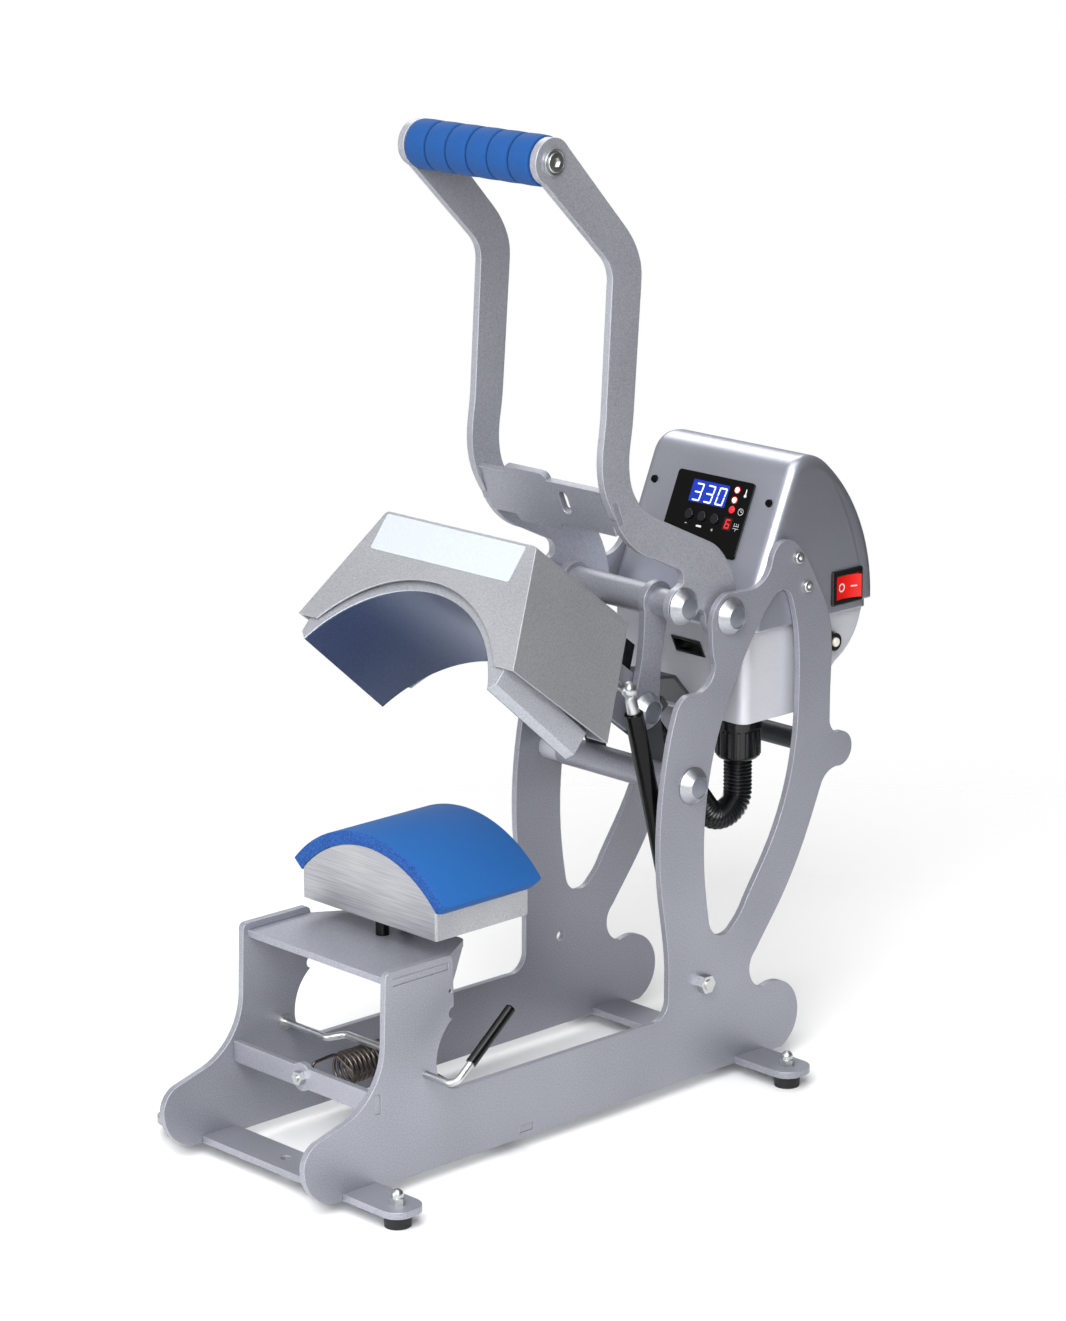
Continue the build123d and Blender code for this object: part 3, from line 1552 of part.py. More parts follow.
with BuildPart() as lower_housing:
    with BuildSketch(side_plane(-lower_half)):
        add(lower_profile.sketch)
    extrude(amount=2 * lower_half)
    fillet(edges().filter_by(Axis.Z).group_by(Axis.Y)[0], radius=lower_round)
    add(lower_hollow.part, mode=Mode.SUBTRACT)
    # bend relief slot at the top of each front corner
    for side in (-1, 1):
        relief_foot = place(side * (lower_half - lower_round), lower_front + lower_round, relief_z)
        with BuildSketch(
            Plane(origin=relief_foot, x_dir=(0, 0, 1), z_dir=(side, -1, 0))
        ):
            SlotOverall(relief_length, relief_width)
        extrude(amount=2 * lower_round, mode=Mode.SUBTRACT)
    with BuildSketch(level_plane(seam_z + 1)):
        with Locations((0, 428)):
            Rectangle(2 * lower_half - 12, 100)
    extrude(amount=-housing_wall - 2, mode=Mode.SUBTRACT)
    with BuildSketch(front_plane(lower_front + housing_wall + 1)):
        Polygon(*port_corners(0), align=None)
    extrude(amount=housing_wall + 2, mode=Mode.SUBTRACT)
    with BuildSketch(side_plane(lower_half + 1)):
        with Locations((breaker_y, breaker_z)):
            Circle(breaker_radius)
    extrude(amount=-housing_wall - 2, mode=Mode.SUBTRACT)
    with BuildSketch(level_plane(lower_bottom - 1)):
        with Locations((conduit_x, gland_y)):
            Circle(conduit_diameter / 2 + 2.5)
        with Locations((inlet_x, inlet_y)):
            Rectangle(inlet_width - 16, inlet_depth - 6)
    extrude(amount=housing_wall + 2, mode=Mode.SUBTRACT)
lower_housing.part.label = "lower_housing"
export_step(lower_housing.part, "parts/lower_housing.step")

display_x, display_above = 0, -2.2
display_width, display_height = 38, 17.4
light_x = 26.1
light_above = (4.6, -3.3, -11)
light_radius = 1.6
button_spots = ((-13.4, -20.7), (0, -20.7), (13.4, -20.7))
button_radius = 4
button_gap = 0.2
button_travel = 1.2
button_proud = 1.5
with BuildPart() as control_panel:
    with BuildSketch(face_plane(0)):
        with Locations(((panel_left + panel_right) / 2, (panel_low + panel_high) / 2)):
            RectangleRounded(panel_right - panel_left, panel_high - panel_low, 3)
        with Locations((display_x, display_above)):
            Rectangle(display_width, display_height, mode=Mode.SUBTRACT)
        with Locations(*[(light_x, up) for up in light_above]):
            Circle(light_radius, mode=Mode.SUBTRACT)
        with Locations(*button_spots):
            Circle(button_radius + button_gap, mode=Mode.SUBTRACT)
    extrude(amount=panel_thickness)
    # circuit board behind the panel, carrying the display and the buttons
    with BuildSketch(face_plane(-5)):
        with Locations((0, -10)):
            Rectangle(64, 36)
    extrude(amount=-1.6)
    with BuildSketch(face_plane(0)):
        with Locations((-30, 5), (-30, -25), (30, 5), (30, -25)):
            Circle(1.5)
    extrude(amount=-5)
control_panel.part.label = "control_panel"
export_step(control_panel.part, "parts/control_panel.step")

with BuildPart() as display_window:
    with BuildSketch(face_plane(-5)):
        with Locations((display_x, display_above)):
            Rectangle(display_width - 0.2, display_height - 0.2)
    extrude(amount=5 + panel_thickness - 0.2)
display_window.part.label = "display_window"
export_step(display_window.part, "parts/display_window.step")

with BuildPart() as panel_lights:
    with BuildSketch(face_plane(-5)):
        with Locations(*[(light_x, up) for up in light_above]):
            Circle(light_radius - 0.05)
    extrude(amount=5 + panel_thickness + 0.4)
panel_lights.part.label = "panel_lights"
export_step(panel_lights.part, "parts/panel_lights.step")


def push_button(spot):
    with BuildPart() as button:
        with BuildSketch(face_plane(button_travel + 0.2 - 3)):
            with Locations(spot):
                Circle(button_radius)
        extrude(amount=panel_thickness + button_proud + 3 - button_travel - 0.2)
        fillet(faces().sort_by(Axis.Z)[-1].edges(), radius=0.6)
    return button.part


with BuildPart() as button_left:
    add(push_button(button_spots[0]))
button_left.part.label = "button_left"
export_step(button_left.part, "parts/button_left.step")

with BuildPart() as button_middle:
    add(push_button(button_spots[1]))
button_middle.part.label = "button_middle"
export_step(button_middle.part, "parts/button_middle.step")

with BuildPart() as button_right:
    add(push_button(button_spots[2]))
button_right.part.label = "button_right"
export_step(button_right.part, "parts/button_right.step")

with BuildPart() as face_screws:
    with BuildSketch(face_plane(0)):
        with Locations((-face_screw_x, 0), (face_screw_x, 0)):
            Circle(3.2)
    extrude(amount=1.8, taper=18)
    with BuildSketch(face_plane(0)):
        with Locations((-face_screw_x, 0), (face_screw_x, 0)):
            Circle(1.5)
    extrude(amount=-8)
face_screws.part.label = "face_screws"
export_step(face_screws.part, "parts/face_screws.step")

with BuildPart() as plate_screws:
    for station, height in housing_screws:
        add(pan_screw(station, height, plate_outside, 16, 4.6, 2.8, 2.5))
    mirror(about=Plane.YZ)
plate_screws.part.label = "plate_screws"
export_step(plate_screws.part, "parts/plate_screws.step")

# ------------------------------------------------------- rocker and breaker
bezel_length, bezel_height = 34, 27
bezel_proud = 2
well_wall = 1.2
well_depth = 9
rocker_length = rocker_cut_length - 2 * well_wall - 1.4
rocker_height = rocker_cut_height - 2 * well_wall - 0.6
rocker_tilt = 8
rocker_axis_x = housing_half - 3
rocker_stub_radius = 1.5
rocker_stub_length = 0.9
with BuildPart() as rocker_bezel:
    with BuildSketch(side_plane(housing_half)):
        with Locations((rocker_y, rocker_z)):
            RectangleRounded(bezel_length, bezel_height, 1.5)
    extrude(amount=bezel_proud)
    chamfer(faces().sort_by(Axis.X)[-1].edges(), length=0.8)
    with BuildSketch(side_plane(housing_half)):
        with Locations((rocker_y, rocker_z)):
            Rectangle(rocker_cut_length - 0.2, rocker_cut_height - 0.2)
    extrude(amount=-well_depth - well_wall)
    with BuildSketch(side_plane(housing_half + bezel_proud)):
        with Locations((rocker_y, rocker_z)):
            Rectangle(rocker_cut_length - 2 * well_wall, rocker_cut_height - 2 * well_wall)
    extrude(amount=-bezel_proud - well_depth, mode=Mode.SUBTRACT)
    # pivot holes through the two long walls of the well
    with BuildSketch(level_plane(rocker_z)):
        with Locations((rocker_axis_x, rocker_y)):
            Circle(rocker_stub_radius + pivot_clearance)
    extrude(amount=rocker_cut_height, both=True, mode=Mode.SUBTRACT)
rocker_bezel.part.label = "rocker_bezel"
export_step(rocker_bezel.part, "parts/rocker_bezel.step")

rocker_crown = 4.6
with BuildPart() as rocker_button:
    # drawn flat about its axle, then tipped to the off position
    rocker_origin = place(rocker_axis_x, rocker_y, rocker_z - rocker_height / 2)
    with BuildSketch(
        Plane(
            origin=rocker_origin,
            x_dir=(sin(radians(rocker_tilt)), cos(radians(rocker_tilt)), 0),
            z_dir=(0, 0, 1),
        )
    ):
        with BuildLine():
            Polyline(
                (-rocker_length / 2, -rocker_crown - 2.6),
                (-rocker_length / 2 + 2, 1.5),
                (rocker_length / 2 - 2, 1.5),
                (rocker_length / 2, -rocker_crown - 2.6),
            )
            ThreePointArc(
                (rocker_length / 2, -rocker_crown - 2.6),
                (0, -rocker_crown),
                (-rocker_length / 2, -rocker_crown - 2.6),
            )
        make_face()
    extrude(amount=rocker_height)
    # pivot stubs above and below
    with BuildSketch(level_plane(rocker_z)):
        with Locations((rocker_axis_x, rocker_y)):
            Circle(rocker_stub_radius)
    extrude(amount=rocker_height / 2 + rocker_stub_length, both=True)
rocker_button.part.label = "rocker_button"
export_step(rocker_button.part, "parts/rocker_button.step")

breaker_collar_radius = 7
breaker_collar_length = 6
breaker_inner_length = 16
breaker_button_radius = 3.5
breaker_travel = 2
breaker_button_proud = 2
breaker_well = 12
breaker_floor_gap = 0.3
with BuildPart() as breaker_body:
    with BuildSketch(side_plane(lower_half)):
        with Locations((breaker_y, breaker_z)):
            Circle(breaker_collar_radius)
    extrude(amount=breaker_collar_length)
    with BuildSketch(side_plane(lower_half)):
        with Locations((breaker_y, breaker_z)):
            Circle(breaker_radius - 0.05)
    extrude(amount=-breaker_inner_length)
    with BuildSketch(side_plane(lower_half + breaker_collar_length)):
        with Locations((breaker_y, breaker_z)):
            Circle(breaker_button_radius + pivot_clearance)
    extrude(amount=-breaker_well, mode=Mode.SUBTRACT)
breaker_body.part.label = "breaker_body"
export_step(breaker_body.part, "parts/breaker_body.step")

breaker_button_foot = breaker_well - breaker_travel - breaker_floor_gap
with BuildPart() as breaker_button:
    with BuildSketch(side_plane(lower_half + breaker_collar_length - breaker_button_foot)):
        with Locations((breaker_y, breaker_z)):
            Circle(breaker_button_radius)
    extrude(amount=breaker_button_foot + breaker_button_proud)
    fillet(faces().sort_by(Axis.X)[-1].edges(), radius=1)
breaker_button.part.label = "breaker_button"
export_step(breaker_button.part, "parts/breaker_button.step")

port_depth = 10
port_wall = 1.5
port_fit = 0.05
with BuildPart() as port_insert:
    with BuildSketch(front_plane(lower_front + port_depth)):
        Polygon(*port_corners(port_fit), align=None)
    extrude(amount=port_depth + 0.6)
    with BuildSketch(front_plane(lower_front + port_depth - port_wall)):
        Polygon(*port_corners(port_wall), align=None)
    extrude(amount=port_depth + 2, mode=Mode.SUBTRACT)
port_insert.part.label = "port_insert"
export_step(port_insert.part, "parts/port_insert.step")

blade_pitch, blade_step = 7, 2
blade_width, blade_length = 2, 4
with BuildPart() as power_inlet:
    with BuildSketch(level_plane(lower_bottom)):
        with Locations((inlet_x, inlet_y)):
            RectangleRounded(inlet_width, inlet_depth, 4)
    extrude(amount=-2.5)
    with BuildSketch(level_plane(lower_bottom)):
        with Locations((inlet_x, inlet_y)):
            Rectangle(inlet_width - 16.2, inlet_depth - 6.2)
    extrude(amount=22)
    with BuildSketch(level_plane(lower_bottom - 2.5)):
        with Locations((inlet_x, inlet_y)):
            RectangleRounded(24, 16, 3)
    extrude(amount=17, mode=Mode.SUBTRACT)
    with BuildSketch(level_plane(lower_bottom + 14.5)):
        with Locations(
            (inlet_x - blade_pitch, inlet_y - blade_step),
            (inlet_x, inlet_y + blade_step),
            (inlet_x + blade_pitch, inlet_y - blade_step),
        ):
            Rectangle(blade_width, blade_length)
    extrude(amount=-10)
power_inlet.part.label = "power_inlet"
export_step(power_inlet.part, "parts/power_inlet.step")

# ---------------------------------------------------------- gland and conduit
gland_drop = 43
gland_rib_count = 16
with BuildPart() as cable_gland:
    with BuildSketch(level_plane(lower_bottom)):
        with Locations((conduit_x, gland_y)):
            Circle(gland_diameter / 2)
    extrude(amount=-18)
    with BuildSketch(level_plane(lower_bottom)):
        with Locations((conduit_x, gland_y)):
            Circle(gland_diameter / 2 - 2)
    extrude(amount=-gland_drop)
    fillet(faces().sort_by(Axis.Z)[0].edges(), radius=3)
    with BuildSketch(level_plane(lower_bottom - 20)):
        with Locations((conduit_x, gland_y)):
            with PolarLocations(gland_diameter / 2 - 2, gland_rib_count):
                Rectangle(2.4, 2.4)
    extrude(amount=-20)
    with BuildSketch(level_plane(lower_bottom)):
        with Locations((conduit_x, gland_y)):
            Circle(conduit_diameter / 2 + 2.3)
    extrude(amount=housing_wall)
    with BuildSketch(level_plane(lower_bottom + housing_wall)):
        with Locations((conduit_x, gland_y)):
            RegularPolygon(17, 6)
    extrude(amount=5)
    with BuildSketch(level_plane(lower_bottom + housing_wall + 6)):
        with Locations((conduit_x, gland_y)):
            Circle(conduit_diameter / 2 + soft_gap)
    extrude(amount=-gland_drop - 20, mode=Mode.SUBTRACT)
cable_gland.part.label = "cable_gland"
export_step(cable_gland.part, "parts/cable_gland.step")

conduit_end_x = 6
conduit_bend = 17
conduit_low_z = 135.6
conduit_end_along, conduit_end_above = 226, 68
conduit_mouth_y = head_y + conduit_end_along * head_cos + conduit_end_above * head_sin
conduit_mouth_z = head_z - conduit_end_along * head_sin + conduit_end_above * head_cos
with BuildPart() as conduit:
    with BuildLine() as conduit_route:
        FilletPolyline(
            place(conduit_x, gland_y, lower_bottom - 4),
            place(conduit_x, gland_y, conduit_low_z),
            place(conduit_end_x, conduit_mouth_y, conduit_mouth_z),
            radius=conduit_bend,
        )
    with BuildSketch(Plane(origin=conduit_route.wire() @ 0, z_dir=conduit_route.wire() % 0)):
        Circle(conduit_diameter / 2)
    sweep()
conduit.part.label = "conduit"
export_step(conduit.part, "parts/conduit.step")

clamp_half = channel_half - channel_wall
clamp_back = 9
clamp_long = 9
clamp_tall = 27
mouth_dir = conduit_route.wire() % 1
clamp_x = conduit_end_x - mouth_dir.X * clamp_back
clamp_y = conduit_mouth_y - mouth_dir.Y * clamp_back
clamp_z = conduit_mouth_z - mouth_dir.Z * clamp_back
with BuildPart() as conduit_holder:
    add(conduit_hood.part)
    clamp_plane = Plane(
        origin=place(0, clamp_y, clamp_z), x_dir=(1, 0, 0), z_dir=(0, mouth_dir.Y, mouth_dir.Z)
    )
    with BuildSketch(clamp_plane):
        Rectangle(2 * clamp_half, clamp_tall)
        with Locations((clamp_x, 0)):
            Circle(conduit_diameter / 2 + 2 * soft_gap, mode=Mode.SUBTRACT)
    extrude(amount=clamp_long / 2, both=True)
conduit_holder.part.label = "conduit_holder"
export_step(conduit_holder.part, "parts/conduit_holder.step")
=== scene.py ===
import bpy
import json
import math
from mathutils import Matrix, Vector


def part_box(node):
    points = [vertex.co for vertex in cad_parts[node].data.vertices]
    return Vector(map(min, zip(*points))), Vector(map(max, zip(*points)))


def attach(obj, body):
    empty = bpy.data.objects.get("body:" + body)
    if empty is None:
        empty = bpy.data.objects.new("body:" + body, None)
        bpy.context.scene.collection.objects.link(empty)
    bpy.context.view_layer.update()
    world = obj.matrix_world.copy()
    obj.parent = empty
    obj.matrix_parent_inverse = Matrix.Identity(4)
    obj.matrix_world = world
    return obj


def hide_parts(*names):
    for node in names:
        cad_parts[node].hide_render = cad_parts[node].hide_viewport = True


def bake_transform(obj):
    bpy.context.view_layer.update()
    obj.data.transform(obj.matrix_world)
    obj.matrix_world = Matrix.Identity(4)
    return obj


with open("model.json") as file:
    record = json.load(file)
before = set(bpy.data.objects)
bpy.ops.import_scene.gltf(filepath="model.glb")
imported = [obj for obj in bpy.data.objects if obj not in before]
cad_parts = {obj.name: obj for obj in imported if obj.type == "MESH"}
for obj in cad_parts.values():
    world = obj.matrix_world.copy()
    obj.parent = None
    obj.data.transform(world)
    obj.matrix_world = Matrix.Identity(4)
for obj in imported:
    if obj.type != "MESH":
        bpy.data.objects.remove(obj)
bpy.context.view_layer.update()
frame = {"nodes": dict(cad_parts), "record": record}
nodes = frame["nodes"]
mm = 0.001
print("frame loaded:", len(nodes), "nodes")

# Small helpers: lengths are in millimetres, places in metres
origin = {"station": 208.7, "height": -16}  # design stations start at the front, heights above the feet


def point(x, station, height):  # a place on the press, from its design stations in millimetres
    return Vector((x, station - origin["station"], height - origin["height"])) * mm


def selectOnly(obj):
    bpy.ops.object.select_all(action="DESELECT")
    obj.select_set(True)
    bpy.context.view_layer.objects.active = obj


def settle(obj):  # the object's place goes into its mesh
    selectOnly(obj)
    bpy.ops.object.transform_apply(location=True, rotation=True, scale=True)


def cylinder(radius, depth, sides, place=(0, 0, 0), alongX=True, ends="NGON"):
    bpy.ops.object.select_all(action="DESELECT")
    bpy.ops.mesh.primitive_cylinder_add(
        vertices=sides, radius=radius * mm, depth=depth * mm, end_fill_type=ends,
        location=place, rotation=(0, math.radians(90 if alongX else 0), 0),
    )
    made = bpy.context.active_object
    settle(made)
    return made


def sheet(width, depth, place=(0, 0, 0), turn=0):  # a flat rectangle, turned about the Y axis
    bpy.ops.object.select_all(action="DESELECT")
    bpy.ops.mesh.primitive_plane_add(size=1, location=place, rotation=(0, math.radians(turn), 0))
    made = bpy.context.active_object
    made.scale = (width * mm, depth * mm, 1)
    settle(made)
    return made


def ball(radius, segments):
    bpy.ops.object.select_all(action="DESELECT")
    bpy.ops.mesh.primitive_uv_sphere_add(segments=segments, ring_count=segments // 2, radius=radius * mm)
    return bpy.context.active_object


def useModifier(obj, kind, **settings):
    modifier = obj.modifiers.new(kind.title(), kind)
    for key, value in settings.items():
        setattr(modifier, key, value)
    selectOnly(obj)
    bpy.ops.object.modifier_apply(modifier=modifier.name)


def roundEdges(obj, width, segments, angle):  # every edge that turns by more than the angle
    useModifier(obj, "BEVEL", width=width * mm, segments=segments, limit_method="ANGLE", angle_limit=angle)


def combine(obj, tool, operation="DIFFERENCE"):
    useModifier(obj, "BOOLEAN", operation=operation, object=tool, solver="EXACT")
    bpy.data.objects.remove(tool)


def editAll(obj):  # edit mode with everything selected
    selectOnly(obj)
    bpy.ops.object.mode_set(mode="EDIT")
    bpy.ops.mesh.select_all(action="SELECT")


def pick(obj, kind, keep):  # edit mode with only the faces, edges or corners that pass the test selected
    selectOnly(obj)
    bpy.ops.object.mode_set(mode="EDIT")
    bpy.ops.mesh.select_mode(type=kind)
    bpy.ops.mesh.select_all(action="DESELECT")
    bpy.ops.object.mode_set(mode="OBJECT")
    mesh = obj.data
    for part in {"FACE": mesh.polygons, "EDGE": mesh.edges, "VERT": mesh.vertices}[kind]:
        part.select = keep(part)
    bpy.ops.object.mode_set(mode="EDIT")


def extrude(x, y, z):
    bpy.ops.mesh.extrude_region_move(TRANSFORM_OT_translate={"value": (x * mm, y * mm, z * mm)})


def leaveEdit():
    bpy.ops.object.mode_set(mode="OBJECT")


def cutRings(obj, places, axis):  # extra rings of edges square to the axis
    editAll(obj)
    for place in places:
        bpy.ops.mesh.select_all(action="SELECT")
        bpy.ops.mesh.bisect(plane_co=Vector(axis) * place * mm, plane_no=axis)
    leaveEdit()


def faceOutwards(obj):
    editAll(obj)
    bpy.ops.mesh.remove_doubles(threshold=0.00001)
    bpy.ops.mesh.normals_make_consistent(inside=False)
    leaveEdit()


def copyOf(obj):
    twin = obj.copy()
    twin.data = obj.data.copy()
    bpy.context.scene.collection.objects.link(twin)
    return twin


def joinAll(pieces):
    selectOnly(pieces[0])
    for piece in pieces:
        piece.select_set(True)
    bpy.ops.object.join()
    return pieces[0]


def mirrored(pattern, spots):  # copies of a piece at the same places on both sides of the press
    made = []
    for x, station, height in spots:
        for side in (1, -1):
            twin = copyOf(pattern)
            twin.scale.x = side
            twin.location = point(side * x, station, height)
            settle(twin)
            faceOutwards(twin)
            made.append(twin)
    return joinAll(made)


def paint(obj, material):
    obj.data.materials.clear()
    obj.data.materials.append(material)


def finishPiece(obj, name, body, material, smooth=35):
    settle(obj)
    bpy.ops.object.shade_smooth_by_angle(angle=math.radians(smooth))
    obj.name = name
    paint(obj, material)
    if body:
        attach(obj, body)
    return obj


# Material helpers: pattern sizes are in real millimetres


def colour(hexCode):  # sRGB hex to the linear values that shaders read
    channels = [int(hexCode[i:i + 2], 16) / 255 for i in (1, 3, 5)]
    linear = [c / 12.92 if c <= 0.04045 else ((c + 0.055) / 1.055) ** 2.4 for c in channels]
    return (*linear, 1)


def perBlob(size):  # the scale at which a noise has blobs of a given size
    return 0.5 / (size * mm)


def firstOutput(source):  # a node stands for its first output
    return source.outputs[0] if isinstance(source, bpy.types.Node) else source


def addNode(tree, kind, settings=None, links=None):  # stops are the places and colours of a ramp
    node = tree.nodes.new("ShaderNode" + kind)
    for key, value in (settings or {}).items():
        if key == "stops":
            for stop, (position, hexCode) in zip(node.color_ramp.elements, value):
                stop.position = position
                stop.color = colour(hexCode)
        elif isinstance(key, int) or key in node.inputs:
            node.inputs[key].default_value = value
        else:
            setattr(node, key, value)
    for socket, source in (links or {}).items():
        tree.links.new(firstOutput(source), node.inputs[socket])
    return node


def newMaterial(name):
    material = bpy.data.materials.new(name)
    material.use_nodes = True
    tree = material.node_tree
    tree.nodes.clear()
    shader = addNode(tree, "BsdfPrincipled")
    addNode(tree, "OutputMaterial", links={"Surface": shader})
    place = addNode(tree, "TexCoord").outputs["Object"]
    return material, tree, shader, place


def setShader(tree, shader, sources, values):
    for socket, source in sources.items():
        tree.links.new(firstOutput(source), shader.inputs[socket])
    for socket, value in values.items():
        shader.inputs[socket].default_value = value


grainDepth = 0.2 * mm  # how far the bumps of a grain stand out


def weighted(tree, main, other, share):  # two patterns added, the other one with the given share
    rest = addNode(tree, "Math", {"operation": "MULTIPLY", 1: share}, {0: other})
    return addNode(tree, "Math", {"operation": "MULTIPLY_ADD", 1: 1 - share}, {0: main, 2: rest})


def roughOver(tree, grain, strength, edge):  # grain over edges that catch the light as if rounded
    rounded = addNode(tree, "Bevel", {"samples": 4, "Radius": edge * mm})
    settings = {"Strength": strength, "Distance": grainDepth}
    return addNode(tree, "Bump", settings, {"Height": grain, "Normal": rounded})


# Powder coat on laser-cut steel: metallic fleck and a soft sheen, with a painted highlight along the edges.
# The real fleck is under 0.1 mm, and is drawn at about 0.5 mm to show
coat = {"cloud": 45, "cloudShare": 0.3, "spread": (0.36, 0.64), "turn": (0.99, 0.8), "highlightShare": 0.7,
        "grain": 0.12}


def powderCoated(name, dark, light, edgeHighlight, metallic, roughness, edge, fleckSize=0.5):
    material, tree, shader, place = newMaterial(name)
    low, high = coat["spread"]
    fleck = addNode(tree, "TexNoise", {"Scale": perBlob(fleckSize)}, {"Vector": place})
    cloudSettings = {"Scale": perBlob(coat["cloud"]), "Detail": 1.0}
    cloud = addNode(tree, "TexNoise", cloudSettings, {"Vector": place})
    blend = weighted(tree, fleck, cloud, coat["cloudShare"])
    tone = addNode(tree, "ValToRGB", {"stops": ((low, dark), (high, light))}, {"Fac": blend})
    rounded = addNode(tree, "Bevel", {"samples": 6, "Radius": edge * mm})
    flat = addNode(tree, "NewGeometry").outputs["Normal"]
    turn = addNode(tree, "VectorMath", {"operation": "DOT_PRODUCT"}, {0: rounded, 1: flat}).outputs["Value"]
    start, end = coat["turn"]
    edgeRange = {"From Min": start, "From Max": end, "To Min": 0, "To Max": coat["highlightShare"]}
    # painted highlight: the colour lightens towards the edge tone where the bevelled normal turns away from
    # the flat one
    highlightMask = addNode(tree, "MapRange", edgeRange, {"Value": turn})
    toneWithHighlight = addNode(tree, "Mix", {"data_type": "RGBA", 7: colour(edgeHighlight)}, {0: highlightMask, 6: tone}).outputs[2]
    grainSettings = {"Strength": coat["grain"], "Distance": grainDepth}
    grain = addNode(tree, "Bump", grainSettings, {"Height": fleck, "Normal": rounded})
    setShader(
        tree, shader, {"Base Color": toneWithHighlight, "Normal": grain}, {"Metallic": metallic, "Roughness": roughness}
    )
    return material


# Silver powder coat, sprayed and baked: mid grey with a faint sparkle and a painted highlight on its edges
silverCoat = powderCoated("silverPowderCoat", "#888A93", "#9FA1AB", "#CFD1D8", 0.5, 0.42, 0.9)
# The handle's coat is the same silver, painted lighter as painted light for the stronger light on the handle
litHandleCoat = powderCoated("handleLitPowderCoat", "#96989F", "#B0B2BB", "#D3D5DA", 0.5, 0.42, 0.9)
# The shroud's coat is over folded thin sheet: its bends are rounder and its fleck is coarser
shroudCoat = powderCoated("shroudPowderCoat", "#97999E", "#AEB0B5", "#D0D2D6", 0.5, 0.44, 1.2, 0.6)
# Charcoal powder coat: nearly black, with a painted grey highlight on its edges and little metal in it; on
# the head arm, whose plates lie in shade, this near black is partly painted shade
charcoalCoatAndShade = powderCoated("charcoalPowderCoatAndShade", "#2B2E33", "#383C42", "#565A60", 0.25, 0.42, 0.6)
# Sprayed silver lacquer on a formed sheet housing: smoother, a broad soft shine
silverLacquer = powderCoated("silverLacquer", "#ABAEB9", "#B8BBC6", "#CFD1D7", 0.85, 0.36, 2.0, 0.3)
# The housing's lacquer painted a shade lighter and less metallic, as painted light on the lower box's front
# and on the shaded arm shaft
lightenedLacquer = powderCoated("lightenedSilverLacquer", "#C9CBD2", "#D5D7DD", "#E0E2E6", 0.4, 0.38, 2.0, 0.3)

# Bare and plated metals: fine scratches break up the shine, drawn ten times as coarse as real to show
metal = {"dull": 1.3, "bright": 0.75, "spread": (0.3, 0.7)}


def plainMetal(name, dark, light, roughness, grainSize, strength, edge=0.3):
    material, tree, shader, place = newMaterial(name)
    low, high = metal["spread"]
    grain = addNode(tree, "TexNoise", {"Scale": perBlob(grainSize), "Detail": 4.0}, {"Vector": place})
    shine = {"To Min": roughness * metal["bright"], "To Max": roughness * metal["dull"]}
    rough = addNode(tree, "MapRange", shine, {"Value": grain})
    tone = addNode(tree, "ValToRGB", {"stops": ((low, dark), (high, light))}, {"Fac": grain})
    scratched = roughOver(tree, grain, strength, edge)
    setShader(
        tree, shader, {"Base Color": tone, "Roughness": rough, "Normal": scratched}, {"Metallic": 1.0}
    )
    return material


# Turned and polished aluminium: pale and bright, its shine a little uneven where the tool dragged
turnedAluminium = plainMetal("turnedAluminium", "#A4A7AC", "#B6B9BE", 0.38, 0.7, 0.03)
# The same caps on their sawn and tumbled middles: dull blue grey
dullAluminium = plainMetal("tumbledAluminium", "#9297A2", "#A0A5AF", 0.55, 0.5, 0.08)
# Bright zinc plating: smooth, with a slow drift of tone
zincPlate = plainMetal("brightZincPlate", "#BFC2C1", "#C9CCCB", 0.33, 3.0, 0.01, 0.05)
# Chemically blackened screws: an oily black with a dull metal shine
blackOxide = plainMetal("blackOxideSteel", "#17181A", "#242527", 0.38, 0.8, 0.05)
# Ground and chromed rod of the gas strut: a near mirror
polishedRod = plainMetal("hardChromeRod", "#C8C9CB", "#D8D9DB", 0.1, 0.8, 0.02)
# Spring wire, left oiled and brownish
springSteel = plainMetal("oiledSpringSteel", "#524B46", "#6E665F", 0.3, 0.8, 0.04)

# Heat platen: bare casting, pale and a little rough, with a slate blue satin coat over the inside of the arch
platen = {"lean": 41.4, "radius": 110.3, "axisRise": 133.97, "coatThick": 0.4, "grain": 0.8, "edge": 0.8,
          "spread": (0.3, 0.7), "rough": 0.45, "coatRough": 0.34, "metallic": 0.75, "bump": 0.12}


